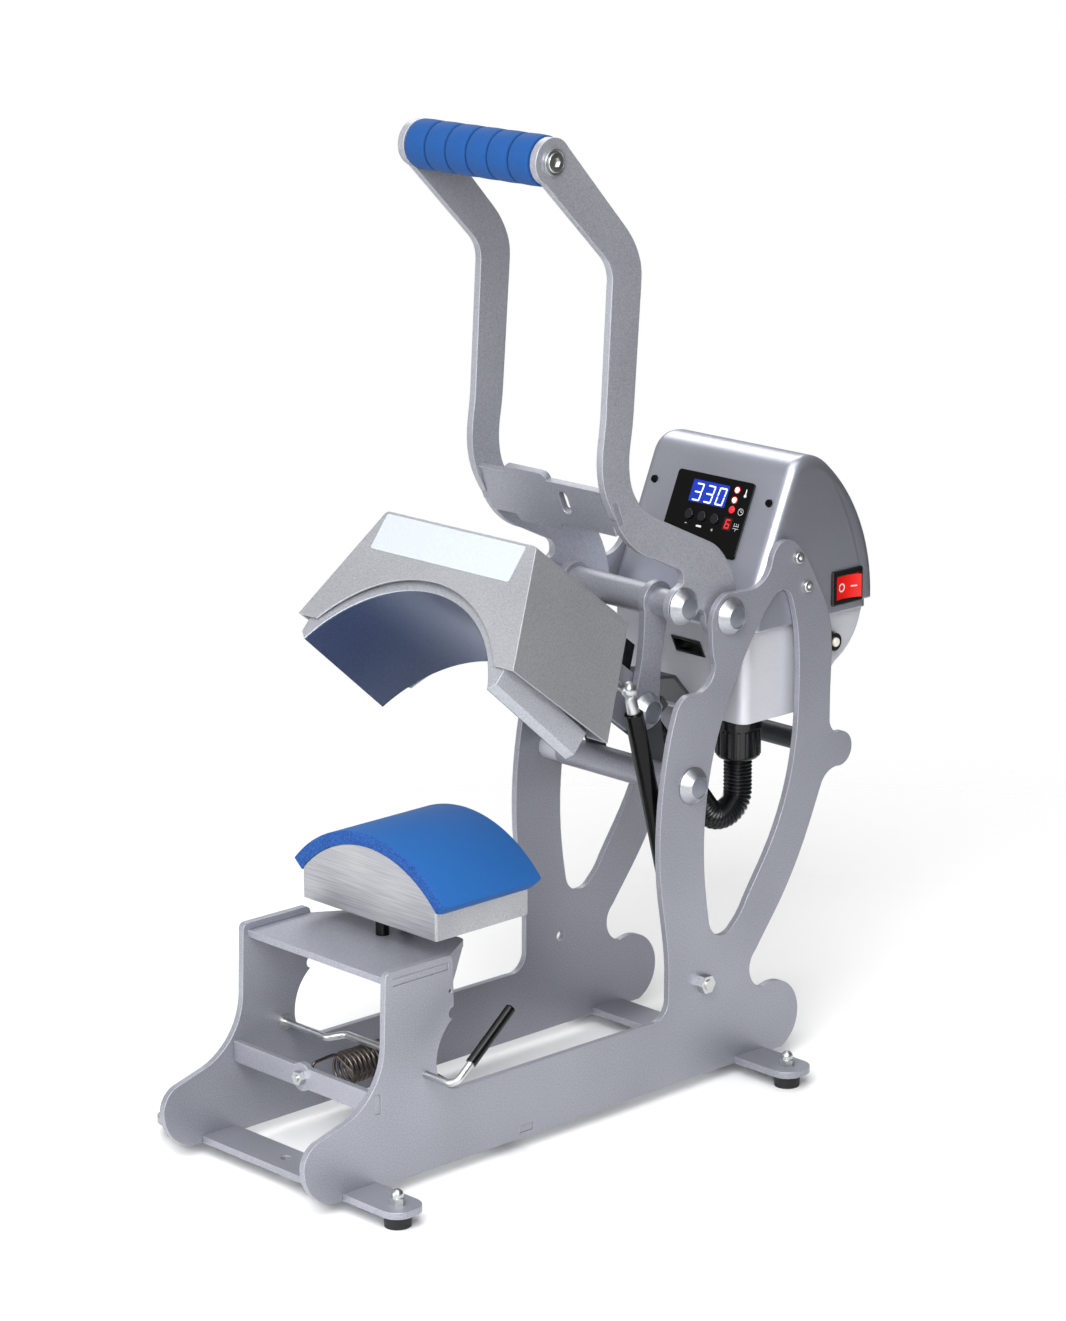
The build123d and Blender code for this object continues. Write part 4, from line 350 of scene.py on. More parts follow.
def coatedPlaten():
    material, tree, shader, place = newMaterial("castingWithNonStickArch")
    lean = math.radians(platen["lean"])
    parts = addNode(tree, "SeparateXYZ", links={0: place})
    upwards = {"operation": "DOT_PRODUCT", 1: (0, math.sin(lean), math.cos(lean))}
    rise = addNode(tree, "VectorMath", upwards, {0: place}).outputs["Value"]
    above = addNode(tree, "Math", {"operation": "SUBTRACT", 1: platen["axisRise"] * mm}, {0: rise})
    across = addNode(tree, "CombineXYZ", links={0: parts.outputs["X"], 1: above})
    reach = addNode(tree, "VectorMath", {"operation": "LENGTH"}, {0: across}).outputs["Value"]
    limit = (platen["radius"] + platen["coatThick"]) * mm
    inside = addNode(tree, "Math", {"operation": "LESS_THAN", 1: limit}, {0: reach})
    low, high = platen["spread"]
    fine = addNode(tree, "TexNoise", {"Scale": perBlob(platen["grain"]), "Detail": 4.0}, {"Vector": place})
    cast = addNode(tree, "ValToRGB", {"stops": ((low, "#AEB1B8"), (high, "#C4C7CD"))}, {"Fac": fine})
    satin = addNode(tree, "ValToRGB", {"stops": ((low, "#4C566D"), (high, "#566079"))}, {"Fac": fine})
    tone = addNode(tree, "Mix", {"data_type": "RGBA"}, {0: inside, 6: cast, 7: satin}).outputs[2]
    shine = {"To Min": platen["rough"], "To Max": platen["coatRough"]}
    rough = addNode(tree, "MapRange", shine, {"Value": inside})
    grain = roughOver(tree, fine, platen["bump"], platen["edge"])
    setShader(
        tree, shader, {"Base Color": tone, "Normal": grain, "Roughness": rough},
        {"Metallic": platen["metallic"]},
    )
    return material


platenCoat = coatedPlaten()

# Brushed aluminium: long fine scratches along X over faint patches. A belt leaves lines of about
# 0.1 mm, and they are drawn 0.4 mm apart to show
brushed = {"slant": 3, "stretch": 0.018, "line": 0.4, "patch": 30, "patchShare": 0.35,
           "spread": (0.34, 0.66), "bump": 0.35, "edge": 0.6, "metallic": 0.85, "rough": 0.42}


def brushedMetal(name, dark, light):
    material, tree, shader, place = newMaterial(name)
    low, high = brushed["spread"]
    laid = {"Rotation": (0, math.radians(brushed["slant"]), 0), "Scale": (brushed["stretch"], 1, 1)}
    placed = addNode(tree, "Mapping", laid, {"Vector": place})
    lineSettings = {"Scale": perBlob(brushed["line"]), "Detail": 6.0}
    lines = addNode(tree, "TexNoise", lineSettings, {"Vector": placed})
    patchSettings = {"Scale": perBlob(brushed["patch"]), "Detail": 1.0}
    patches = addNode(tree, "TexNoise", patchSettings, {"Vector": place})
    blend = weighted(tree, lines, patches, brushed["patchShare"])
    tone = addNode(tree, "ValToRGB", {"stops": ((low, dark), (high, light))}, {"Fac": blend})
    scratched = roughOver(tree, lines, brushed["bump"], brushed["edge"])
    setShader(
        tree, shader, {"Base Color": tone, "Normal": scratched},
        {"Metallic": brushed["metallic"], "Roughness": brushed["rough"]},
    )
    return material


# A ground block: its streaks run across the press
brushedBlock = brushedMetal("brushedAluminium", "#989AA0", "#C6C7CA")

# Moulded plastics and rubbers: a spark-eroded grain of some 0.05 mm, drawn at 0.4 to 0.8 mm to show
mouldedSpread = (0.35, 0.65)


def moulded(name, dark, light, roughness, grainSize=0.4, strength=0.15, edge=0.4, gloss=0.5):
    material, tree, shader, place = newMaterial(name)
    low, high = mouldedSpread
    grain = addNode(tree, "TexNoise", {"Scale": perBlob(grainSize), "Detail": 3.0}, {"Vector": place})
    tone = addNode(tree, "ValToRGB", {"stops": ((low, dark), (high, light))}, {"Fac": grain})
    eroded = roughOver(tree, grain, strength, edge)
    setShader(
        tree, shader, {"Base Color": tone, "Normal": eroded},
        {"Roughness": roughness, "Specular IOR Level": gloss},
    )
    return material


# Nylon, moulded in a polished tool: black, with clear small highlights
blackNylon = moulded("blackNylon", "#0D0E10", "#141517", 0.22, 0.6, 0.04, 0.8)
# Moulded rubber feet: matt, a little greyer
blackRubber = moulded("blackRubber", "#101112", "#17181A", 0.62)
# Dipped vinyl grip: drawn smooth by its own flow, so it shines
vinylDip = moulded("blackVinylDip", "#060607", "#0A0A0B", 0.2, 0.8, 0.03, 0.4, 0.3)
# Printed film over the panel: flat and glossy, almost pure black
panelFilm = moulded("blackPanelFilm", "#040405", "#060607", 0.12, 0.5, 0.02, 0.4, 0.2)
# Moulded keys: black with a satin top
blackKey = moulded("blackKeyPlastic", "#0E0F11", "#141518", 0.25, 0.6, 0.04)
# Cream push tip in bare moulded plastic: warm and half matt
creamPlastic = moulded("creamPushTip", "#DAD5C6", "#E4DFD1", 0.4)
# Blank label film: pale blue grey, flat and matt
labelFilm = moulded("paleLabelFilm", "#ABB1B8", "#B4BAC1", 0.5, 0.5, 0.03)
# Screen-printed white ink: flat and matt on the glossy film
whiteMark = moulded("whitePrint", "#DADADA", "#E4E4E4", 0.5, 0.5, 0.02)
# Stoved enamel on the strut's tube: deep black with a sharp streak of light
blackEnamel = moulded("glossBlackEnamel", "#030304", "#060607", 0.16, 0.6, 0.02, 0.4, 0.22)

# Closed-cell sponge: smooth skin where moulded, open speckled cells where it was cut.
# Its cells are about 0.2 mm across, and are drawn at 0.5 mm to show
cells = {"skinSpread": (0.3, 0.7), "cutSpread": (0.38, 0.56), "turn": (0.6, 0.8), "bump": (0.12, 0.6),
         "depth": 0.4}
spongeShine = {"Roughness": 0.8, "Specular IOR Level": 0.25, "Sheen Weight": 0.05, "Sheen Roughness": 0.5}


def sponge(name, skinDark, skinLight, cutDark, cutLight, cutAxis, poreSize):
    material, tree, shader, place = newMaterial(name)
    pores = addNode(tree, "TexNoise", {"Scale": perBlob(poreSize)}, {"Vector": place})
    low, high = cells["skinSpread"]
    skin = addNode(tree, "ValToRGB", {"stops": ((low, skinDark), (high, skinLight))}, {"Fac": pores})
    low, high = cells["cutSpread"]
    cut = addNode(tree, "ValToRGB", {"stops": ((low, cutDark), (high, cutLight))}, {"Fac": pores})
    facing = addNode(tree, "TexCoord").outputs["Normal"]
    parts = addNode(tree, "SeparateXYZ", links={0: facing})
    side = addNode(tree, "Math", {"operation": "ABSOLUTE"}, {0: parts.outputs[cutAxis]})
    start, end = cells["turn"]
    onCut = addNode(tree, "MapRange", {"From Min": start, "From Max": end}, {"Value": side})
    low, high = cells["bump"]
    strength = addNode(tree, "MapRange", {"To Min": low, "To Max": high}, {"Value": onCut})
    holes = {"Height": pores, "Strength": strength}
    rough = addNode(tree, "Bump", {"Distance": cells["depth"] * mm}, holes)
    tone = addNode(tree, "Mix", {"data_type": "RGBA"}, {0: onCut, 6: skin, 7: cut}).outputs[2]
    setShader(tree, shader, {"Base Color": tone, "Normal": rough}, spongeShine)
    return material


# Silicone sponge sheet: a closed bright blue skin, darker speckle on its cut edges
blueSilicone = sponge("blueSiliconeSponge", "#175292", "#1B5798", "#0C3274", "#1B5093", "Y", 0.55)
# Nitrile foam grip: a dull deep blue, speckled on its cut ends
blueFoam = sponge("blueNitrileFoam", "#0D417B", "#114683", "#0C3A72", "#11427B", "X", 0.5)

# Tinted plastic with a lamp behind it, faintly rippled
ripple = {"size": 0.8, "strength": 0.04}


def lamp(name, hexCode, glow, roughness=0.2):
    material, tree, shader, place = newMaterial(name)
    waves = addNode(tree, "TexNoise", {"Scale": perBlob(ripple["size"])}, {"Vector": place})
    settings = {"Strength": ripple["strength"], "Distance": grainDepth}
    wavy = addNode(tree, "Bump", settings, {"Height": waves})
    tint = colour(hexCode)
    setShader(
        tree, shader, {"Normal": wavy},
        {"Base Color": tint, "Roughness": roughness, "Emission Color": tint, "Emission Strength": glow},
    )
    return material


# Rocker in clear red acrylic over a neon lamp: saturated, with an even inner glow
redRocker = lamp("redRockerPlastic", "#C2140F", 0.25)
# Display window: dark blue tinted sheet lit from behind
blueDisplay = lamp("blueDisplayWindow", "#0E2A96", 0.45, 0.15)
# Lit segments of the digits: pale blue, the brightest spots of the panel
digitLight = lamp("paleBlueDigit", "#D6E4FF", 0.9)
# Moulded lens over a lit red lamp
redLight = lamp("redLitLens", "#D3222B", 0.6)
# Clear lens over a warm lamp: nearly white
warmLight = lamp("warmWhiteLens", "#FFE3DA", 0.9)
# Smoked red window: dark until its lamp is on
redWindow = lamp("darkRedWindow", "#3A0709", 0.3)

finishes = {
    "silver_coat": silverCoat,
    # dark coat: partly painted shade where the head arm lies in shadow
    "dark_coat": charcoalCoatAndShade,
    "brushed_block": brushedBlock,
    "zinc": zincPlate,
    "black_steel": blackEnamel,
    "polished_caps": turnedAluminium,
    "blue_silicone": blueSilicone,
    "blue_foam": blueFoam,
    "black_rubber": blackRubber,
    "coated_platen": platenCoat,
    "shroud_coat": shroudCoat,
    "housing_coat": silverLacquer,
    "black_plastic": blackNylon,
    "panel_film": panelFilm,
    "blue_window": blueDisplay,
    "red_plastic": redRocker,
    "pale_label": labelFilm,
    "grey_plastic": blackKey,
}
ownFinish = {
    "gas_rod": polishedRod,
    "hold_down_spring": springSteel,
    "lever_grip": vinylDip,
    "panel_lights": redLight,
    "head_pins": silverCoat,
    # painted light: the arm shaft and the lower box take the lightened lacquer
    "arm_shaft": lightenedLacquer,
    "toggle_tubes": silverCoat,
    "face_screws": blackOxide,
    # the handle arms take the silver painted lighter: painted light
    "handle_arms": litHandleCoat,
    "breaker_button": creamPlastic,
    "lower_housing": lightenedLacquer,
}
for part in frame["record"]["subparts"]:
    finish = ownFinish.get(part["node"], finishes[part["material_slot"]])
    node = nodes[part["node"]]
    if node.material_slots:
        for materialSlot in node.material_slots:
            materialSlot.material = finish
    else:
        node.data.materials.append(finish)
print("materials set")

# Bevelled caps over the pivots: a turned cone with a duller flat middle
cap = {
    "sides": 96, "radius": 14.3, "rim": 1.2, "height": 8, "flatRadius": 8.5, "faceDepth": 0.55,
    "edge": 0.35, "step": 0.35, "middleThick": 2, "middleEdge": 0.3,
    "pivots": ((80, 341.0, 348.5), (80, 301.6, 225.7)),
    "toggle": ((71.5, 298.92, 361.69),),
    "link": ((46.4, 286.51, 279.62),),
}


def capRing():
    ring = cylinder(cap["radius"], cap["rim"], cap["sides"], (cap["rim"] / 2 * mm, 0, 0))
    pick(ring, "FACE", lambda side: side.normal.x > 0.9)
    extrude(cap["height"] - cap["rim"], 0, 0)
    shrink = cap["flatRadius"] / cap["radius"]
    bpy.ops.transform.resize(value=(1, shrink, shrink))
    bpy.ops.mesh.inset(thickness=cap["step"] * mm)
    extrude(-cap["faceDepth"], 0, 0)
    bpy.ops.mesh.delete(type="FACE")
    leaveEdit()
    roundEdges(ring, cap["edge"], 3, 0.3)
    return ring


def capMiddle():
    centre = cap["height"] - cap["faceDepth"] - cap["middleThick"] / 2
    middle = cylinder(
        cap["flatRadius"] - cap["step"], cap["middleThick"], cap["sides"], (centre * mm, 0, 0)
    )
    roundEdges(middle, cap["middleEdge"], 2, 0.6)
    return middle


ringPattern, middlePattern = capRing(), capMiddle()
for spots, name, body, replaced in (
    (cap["pivots"], "pivotCap", "base", "pivot_caps"),
    (cap["toggle"], "toggleCap", "handle", "toggle_pin"),
    (cap["link"], "linkCap", "links", "link_caps"),
):
    rings = mirrored(ringPattern, spots)
    finishPiece(rings, name + "Ring", body, turnedAluminium, 25)
    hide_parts(replaced)
    middles = mirrored(middlePattern, spots)
    finishPiece(middles, name + "Middle", body, dullAluminium, 25)
    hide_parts(replaced)
bpy.data.objects.remove(ringPattern)
bpy.data.objects.remove(middlePattern)
print("caps turned")

# Bolts at the ends of the grip: dished bright washer, socket head
gripBolt = {
    "place": (71.5, 169.1, 702.4), "sides": 64,
    "washer": 9.5, "thick": 2.2, "land": 1.2, "slope": 0.9, "dish": 1.2, "washerEdge": 0.4,
    "head": 7.2, "headTop": 3.4, "headEdge": 0.7, "socket": 3.6, "socketDepth": 1.8,
}


def washerRing():
    thick = gripBolt["thick"]
    ring = cylinder(gripBolt["washer"], thick, gripBolt["sides"], (thick / 2 * mm, 0, 0))
    pick(ring, "FACE", lambda side: side.normal.x > 0.9)
    bpy.ops.mesh.inset(thickness=gripBolt["land"] * mm)
    bpy.ops.mesh.inset(thickness=gripBolt["slope"] * mm)
    bpy.ops.transform.translate(value=(-gripBolt["dish"] * mm, 0, 0))
    leaveEdit()
    roundEdges(ring, gripBolt["washerEdge"], 3, 0.5)
    return ring


def socketHead():
    top = gripBolt["headTop"]
    bolt = cylinder(gripBolt["head"], top, gripBolt["sides"], (top / 2 * mm, 0, 0))
    roundEdges(bolt, gripBolt["headEdge"], 4, 0.5)
    combine(bolt, cylinder(gripBolt["socket"], gripBolt["socketDepth"] * 2, 6, (top * mm, 0, 0)))
    return bolt


for name, pattern in (("gripWashers", washerRing()), ("gripBoltHeads", socketHead())):
    boltPiece = mirrored(pattern, (gripBolt["place"],))
    bpy.data.objects.remove(pattern)
    finishPiece(boltPiece, name, "handle", zincPlate)
    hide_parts("grip_bolts")
print("grip bolts made")

# Foam grip: six rolls pinched apart by five narrow grooves, only their ends are larger than endArea
grip = {"place": (0, 169.1, 702.4), "sides": 96, "radius": 18, "half": 64.5, "rolls": 6, "groove": 0.75,
        "grooveDepth": 2.2, "round": 1.6, "crown": 0.25, "bore": 12.8, "endArea": 100 * mm * mm}
rollLength = 2 * grip["half"] / grip["rolls"]
foam = cylinder(grip["radius"], rollLength - 2 * grip["groove"], grip["sides"])
pick(foam, "FACE", lambda side: abs(side.normal.x) < 0.5)
bpy.ops.mesh.subdivide(number_cuts=1, quadcorner="INNERVERT")
leaveEdit()
for vertex in foam.data.vertices:  # the middle of each roll swells a little
    if abs(vertex.co.x) < 1 * mm:
        vertex.co.y *= 1 + grip["crown"] / grip["radius"]
        vertex.co.z *= 1 + grip["crown"] / grip["radius"]
roundEdges(foam, grip["round"], 5, 0.9)
pick(foam, "FACE", lambda side: abs(side.normal.x) > 0.95 and side.area > grip["endArea"])
bpy.ops.mesh.inset(thickness=(grip["grooveDepth"] - grip["round"]) * mm, use_individual=True)
leaveEdit()
for direction in (1, -1):
    pick(foam, "FACE", lambda side: side.normal.x * direction > 0.95 and side.area > grip["endArea"])
    extrude(direction * grip["groove"], 0, 0)
    leaveEdit()
foam.location.x = -(grip["half"] - rollLength / 2) * mm
settle(foam)
rolls = [foam]
for count in range(1, grip["rolls"]):
    twin = copyOf(foam)
    twin.location.x = count * rollLength * mm
    settle(twin)
    rolls.append(twin)
foam = joinAll(rolls)
innerReach = (grip["half"] - 1) * mm


def innerWall(side):  # the ends of two rolls that meet inside the grip
    return abs(side.normal.x) > 0.9 and side.area > grip["endArea"] and abs(side.center.x) < innerReach


borer = cylinder(grip["bore"], 3 * grip["half"], 64)
pick(foam, "FACE", innerWall)
bpy.ops.mesh.delete(type="FACE")
leaveEdit()
faceOutwards(foam)
combine(foam, borer)
foam.location = point(*grip["place"])
finishPiece(foam, "foamGrip", "handle", blueFoam, 50)
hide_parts("foam_grip")
print("foam grip rolled")

# Pad over the lower platen: a curved slab of sponge with rounded corners
pad = {"centreHeight": 117, "inner": 98.0, "thick": 10.2, "front": 50, "rear": 146, "halfAngle": 49.3,
       "endMargin": 0.2, "corner": 8, "edge": 0.8, "steps": 64}
padMiddle = point(0, (pad["rear"] + pad["front"]) / 2, pad["centreHeight"] + pad["inner"] + pad["thick"] / 2)
padTurn = point(0, pad["front"], pad["centreHeight"])
slab = sheet(pad["thick"], pad["rear"] - pad["front"], padMiddle, 90)
editAll(slab)
bpy.ops.transform.rotate(
    value=math.radians(-pad["halfAngle"]), orient_axis="Y", orient_type="GLOBAL", center_override=padTurn
)
bpy.ops.mesh.spin(
    steps=pad["steps"], angle=math.radians(2 * pad["halfAngle"]), center=padTurn, axis=(0, 1, 0)
)
leaveEdit()
faceOutwards(slab)
padEnd = math.sin(math.radians(pad["halfAngle"] - pad["endMargin"])) * pad["inner"] * mm


def cornerEdge(edge):  # one of the four radial edges at the ends of the arc
    first, second = (slab.data.vertices[i].co for i in edge.vertices)
    radial = abs(first.y - second.y) < 0.1 * mm and (first - second).length > (pad["thick"] - 1) * mm
    return radial and min(abs(first.x), abs(second.x)) > padEnd


pick(slab, "EDGE", cornerEdge)
bpy.ops.mesh.bevel(offset=pad["corner"] * mm, segments=8, affect="EDGES")
leaveEdit()
roundEdges(slab, pad["edge"], 3, 0.9)
finishPiece(slab, "platenPad", "base", blueSilicone, 40)
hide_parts("platen_pad")
print("pad laid")

# The laid-back head: a place on it from its own depth and height
head = {"lay": 37.7, "shaft": (301.6, 225.7), "reach": 252.1, "drop": 24}
layCos, laySin = math.cos(math.radians(head["lay"])), math.sin(math.radians(head["lay"]))
headFoot = (
    head["shaft"][0] - head["reach"] * layCos - head["drop"] * laySin,
    head["shaft"][1] + head["reach"] * laySin - head["drop"] * layCos,
)


def headPoint(x, depth, height):
    return point(
        x, headFoot[0] + depth * layCos + height * laySin, headFoot[1] - depth * laySin + height * layCos
    )


# Corrugated conduit from the gland under the housing up to the holder on the head
hose = {"radius": 11.2, "valley": 9.5, "pitch": 3.0, "bend": 17, "tail": 10, "sides": 32,
        "top": point(22, 411, 253), "low": point(22, 411, 135.6), "mouth": headPoint(6, 226, 68),
        "swell": {-0.3: 0.62, 0.0: 1.0, 0.3: 0.62}}


def roundedRoute(first, corner, last, bend):  # a curve of two straight runs with one round bend
    before = (first - corner).normalized()
    after = (last - corner).normalized()
    half = before.angle(after) / 2
    reach = bend / math.tan(half)
    arc = math.pi - 2 * half
    pull = bend * 4 / 3 * math.tan(arc / 4)
    tail = hose["tail"] * mm
    data = bpy.data.curves.new("route", "CURVE")
    data.dimensions = "3D"
    data.resolution_u = 48
    line = data.splines.new("BEZIER")
    line.bezier_points.add(3)
    knots = (
        (first, -before * tail, -before * tail),
        (corner + before * reach, before * pull, -before * pull),
        (corner + after * reach, -after * pull, after * pull),
        (last, -after * tail, after * tail),
    )
    for knot, (spot, left, right) in zip(line.bezier_points, knots):
        knot.handle_left_type = "FREE"
        knot.handle_right_type = "FREE"
        knot.co = spot
        knot.handle_left = spot + left
        knot.handle_right = spot + right
    length = (first - knots[1][0]).length + arc * bend + (last - knots[2][0]).length
    made = bpy.data.objects.new("route", data)
    bpy.context.scene.collection.objects.link(made)
    return made, length


route, hoseLength = roundedRoute(hose["top"], hose["low"], hose["mouth"], hose["bend"] * mm)
ribCount = math.ceil(hoseLength / (hose["pitch"] * mm))
ribLength = hoseLength / ribCount / mm
rib = cylinder(hose["valley"], ribLength, hose["sides"], alongX=False, ends="NOTHING")
cutRings(rib, [share * ribLength for share in hose["swell"]], (0, 0, 1))
for vertex in rib.data.vertices:
    for share, amount in hose["swell"].items():
        if abs(vertex.co.z / (ribLength * mm) - share) < 0.05:
            grown = 1 + amount * (hose["radius"] / hose["valley"] - 1)
            vertex.co.x *= grown
            vertex.co.y *= grown
rib.location.z = ribLength / 2 * mm
settle(rib)
useModifier(
    rib, "ARRAY", count=ribCount, use_relative_offset=False, use_constant_offset=True,
    constant_offset_displace=(0, 0, ribLength * mm), use_merge_vertices=True, merge_threshold=0.00002,
)
useModifier(rib, "CURVE", object=route, deform_axis="POS_Z")
bpy.data.objects.remove(route)
faceOutwards(rib)
finishPiece(rib, "corrugatedConduit", None, blackNylon, 60)
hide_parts("conduit")
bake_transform(rib)
print("conduit laid:", ribCount, "ribs")

# Figures and marks on the control panel, in the plane of the sloping face
panel = {"tilt": 23.5, "station": 402.5, "height": 421.2}
panelLean = math.radians(panel["tilt"])


def ontoPanel(obj, x, above, proud, slant=0):  # a flat mark laid on the sloping face
    for vertex in obj.data.vertices:
        vertex.co.x += math.tan(math.radians(slant)) * vertex.co.y
    back = above * math.sin(panelLean) - proud * math.cos(panelLean)
    rise = above * math.cos(panelLean) + proud * math.sin(panelLean)
    obj.rotation_euler = (math.radians(90) - panelLean, 0, 0)
    obj.location = point(x, panel["station"] + back, panel["height"] + rise)
    settle(obj)
    return obj


# Segments of a figure have pointed ends and stop just short of each other
segmentShape = {"tipReach": 0.45, "tipWidth": 0.15, "gap": 0.3, "inset": 0.7}


def bar(length, stroke, thick):
    segment = sheet(length - stroke, stroke)
    selectOnly(segment)
    bpy.ops.object.mode_set(mode="EDIT")
    bpy.ops.mesh.select_mode(type="EDGE")
    bpy.ops.mesh.select_all(action="SELECT")
    extrude(0, 0, thick)
    leaveEdit()
    for direction in (1, -1):
        pick(segment, "FACE", lambda side: side.normal.x * direction > 0.9)
        extrude(direction * stroke * segmentShape["tipReach"], 0, 0)
        bpy.ops.transform.resize(value=(1, segmentShape["tipWidth"], 1))
        leaveEdit()
    faceOutwards(segment)
    return segment


litSegments = {"3": "abcdg", "0": "abcdef", "6": "acdefg"}


def figure(digit, size):
    width, height, stroke, thick = (size[key] for key in ("width", "height", "stroke", "thick"))
    upright = bar(height / 2 - segmentShape["gap"], stroke, thick)
    level = bar(width - stroke * segmentShape["inset"], stroke, thick)
    half = height / 2
    right = (width - stroke) / 2
    places = {
        "a": (level, 0, half - stroke / 2, 0), "g": (level, 0, 0, 0), "d": (level, 0, stroke / 2 - half, 0),
        "b": (upright, right, half / 2, 90), "c": (upright, right, -half / 2, 90),
        "e": (upright, -right, -half / 2, 90), "f": (upright, -right, half / 2, 90),
    }
    made = []
    for letter in litSegments[digit]:
        pattern, x, y, turn = places[letter]
        twin = copyOf(pattern)
        twin.rotation_euler.z = math.radians(turn)
        twin.location = (x * mm, y * mm, 0)
        settle(twin)
        made.append(twin)
    bpy.data.objects.remove(upright)
    bpy.data.objects.remove(level)
    return joinAll(made)


figures = {"width": 8.0, "height": 14.0, "stroke": 1.15, "thick": 0.12, "slant": 6, "proud": 1.42,
           "above": -3.0, "digits": (("3", -11.4), ("3", 0.7), ("0", 12.8))}
digits = [
    ontoPanel(figure(digit, figures), x, figures["above"], figures["proud"], figures["slant"])
    for digit, x in figures["digits"]
]
finishPiece(joinAll(digits), "displayFigures", "base", digitLight)
redFigure = {"digit": "6", "width": 4.8, "height": 7.4, "stroke": 1.0, "thick": 0.1, "slant": 6,
             "x": 27.1, "above": -22.2, "proud": 1.78, "window": (8.0, 9.6, 0.2, 0.6), "windowProud": 1.55}
smallFigure = ontoPanel(
    figure(redFigure["digit"], redFigure),
    redFigure["x"], redFigure["above"], redFigure["proud"], redFigure["slant"],
)
finishPiece(smallFigure, "smallRedFigure", "base", redLight)
print("figures drawn")


def tile(width, height, thick, corner):  # a thin plate with round corners
    plate = sheet(width, height)
    editAll(plate)
    bpy.ops.mesh.bevel(offset=corner * mm, segments=5, affect="VERTICES")
    bpy.ops.mesh.select_all(action="SELECT")
    extrude(0, 0, thick)
    leaveEdit()
    faceOutwards(plate)
    return plate


domeShape = {"sides": 40, "rise": 0.5, "edge": 0.45}  # rise and edge are shares of the dome's border


def lens(radius, thick, border):  # a short round stud with a domed top
    stud = cylinder(radius, thick, domeShape["sides"], alongX=False)
    pick(stud, "FACE", lambda side: side.normal.z > 0.9)
    bpy.ops.mesh.inset(thickness=border * mm)
    bpy.ops.transform.translate(value=(0, 0, border * domeShape["rise"] * mm))
    leaveEdit()
    roundEdges(stud, border * domeShape["edge"], 4, 0.3)
    return stud


# Three lamps beside the display, each in a raised rim, and the dark window of the small figure
lamps = {
    "x": 27.3, "rim": (2.85, 0.5, 0.4), "rimProud": 1.7, "lens": (2.2, 0.9, 0.7), "lensProud": 1.85,
    "places": (
        (4.5, "upperLamp", warmLight), (-3.4, "middleLamp", warmLight), (-10.9, "lowerLamp", redLight)
    ),
}
rims = []
for above, name, finish in lamps["places"]:
    rims.append(ontoPanel(lens(*lamps["rim"]), lamps["x"], above, lamps["rimProud"]))
    glass = ontoPanel(lens(*lamps["lens"]), lamps["x"], above, lamps["lensProud"])
    finishPiece(glass, name, "base", finish, 60)
    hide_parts("panel_lights")
lampRims = finishPiece(joinAll(rims), "lampRims", "base", redLight, 60)
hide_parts("panel_lights")
smallWindow = ontoPanel(
    tile(*redFigure["window"]), redFigure["x"], redFigure["above"], redFigure["windowProud"]
)
finishPiece(smallWindow, "smallFigureWindow", "base", redWindow)

# Marks printed on the film: minus, bar and plus under the keys, clock, gauge and press beside the lamps
ink = {"thick": 0.1, "proud": 1.56}


def stroke(length, width, x=0, y=0, turn=0):
    line = bar(length, width, ink["thick"])
    line.rotation_euler.z = math.radians(turn)
    line.location = (x * mm, y * mm, 0)
    settle(line)
    return line


def loop(radius, width, x=0, y=0):
    thick = ink["thick"]
    hoop = cylinder(radius, thick, 40, (x * mm, y * mm, thick / 2 * mm), False, "NOTHING")
    useModifier(hoop, "SOLIDIFY", thickness=width * mm, offset=-1)
    faceOutwards(hoop)
    return hoop


def drawn(strokes=(), loops=(), tiles=()):
    pieces = [loop(*sizes) for sizes in loops] + [tile(*sizes) for sizes in tiles]
    return joinAll(pieces + [stroke(*sizes) for sizes in strokes])


filmMarks = {
    "minus": ((-14.6, -28.0), {"strokes": ((2.4, 0.5),)}),
    "bar": ((-0.9, -28.5), {"tiles": ((5.4, 1.5, 0.1, 0.3),)}),
    "plus": ((13.2, -29.2), {"strokes": ((2.4, 0.5), (2.4, 0.5, 0, 0, 90))}),
    "clock": (
        (36.6, -11.2), {"loops": ((2.7, 0.4),), "strokes": ((1.9, 0.4, 0, 0.8, 90), (1.6, 0.4, 0.6, 0))}
    ),
    "gauge": ((36.4, 3.6), {"loops": ((1.3, 1.1, 0, -2.2),), "strokes": ((4.8, 0.9, 0, 0.6, 90),)}),
    "press": ((36.2, -22.6), {"strokes": (
        (6.0, 0.4), (6.0, 0.4, 0, -1.9), (2.2, 0.4, 0, -3.2, 90),
        (1.6, 0.4, -2, 1.4, 90), (1.6, 0.4, 0, 1.4, 90), (1.6, 0.4, 2, 1.4, 90),
    )}),
}
for name, ((x, above), forms) in filmMarks.items():
    mark = ontoPanel(drawn(**forms), x, above, ink["proud"])
    finishPiece(mark, name + "Mark", "base", whiteMark)

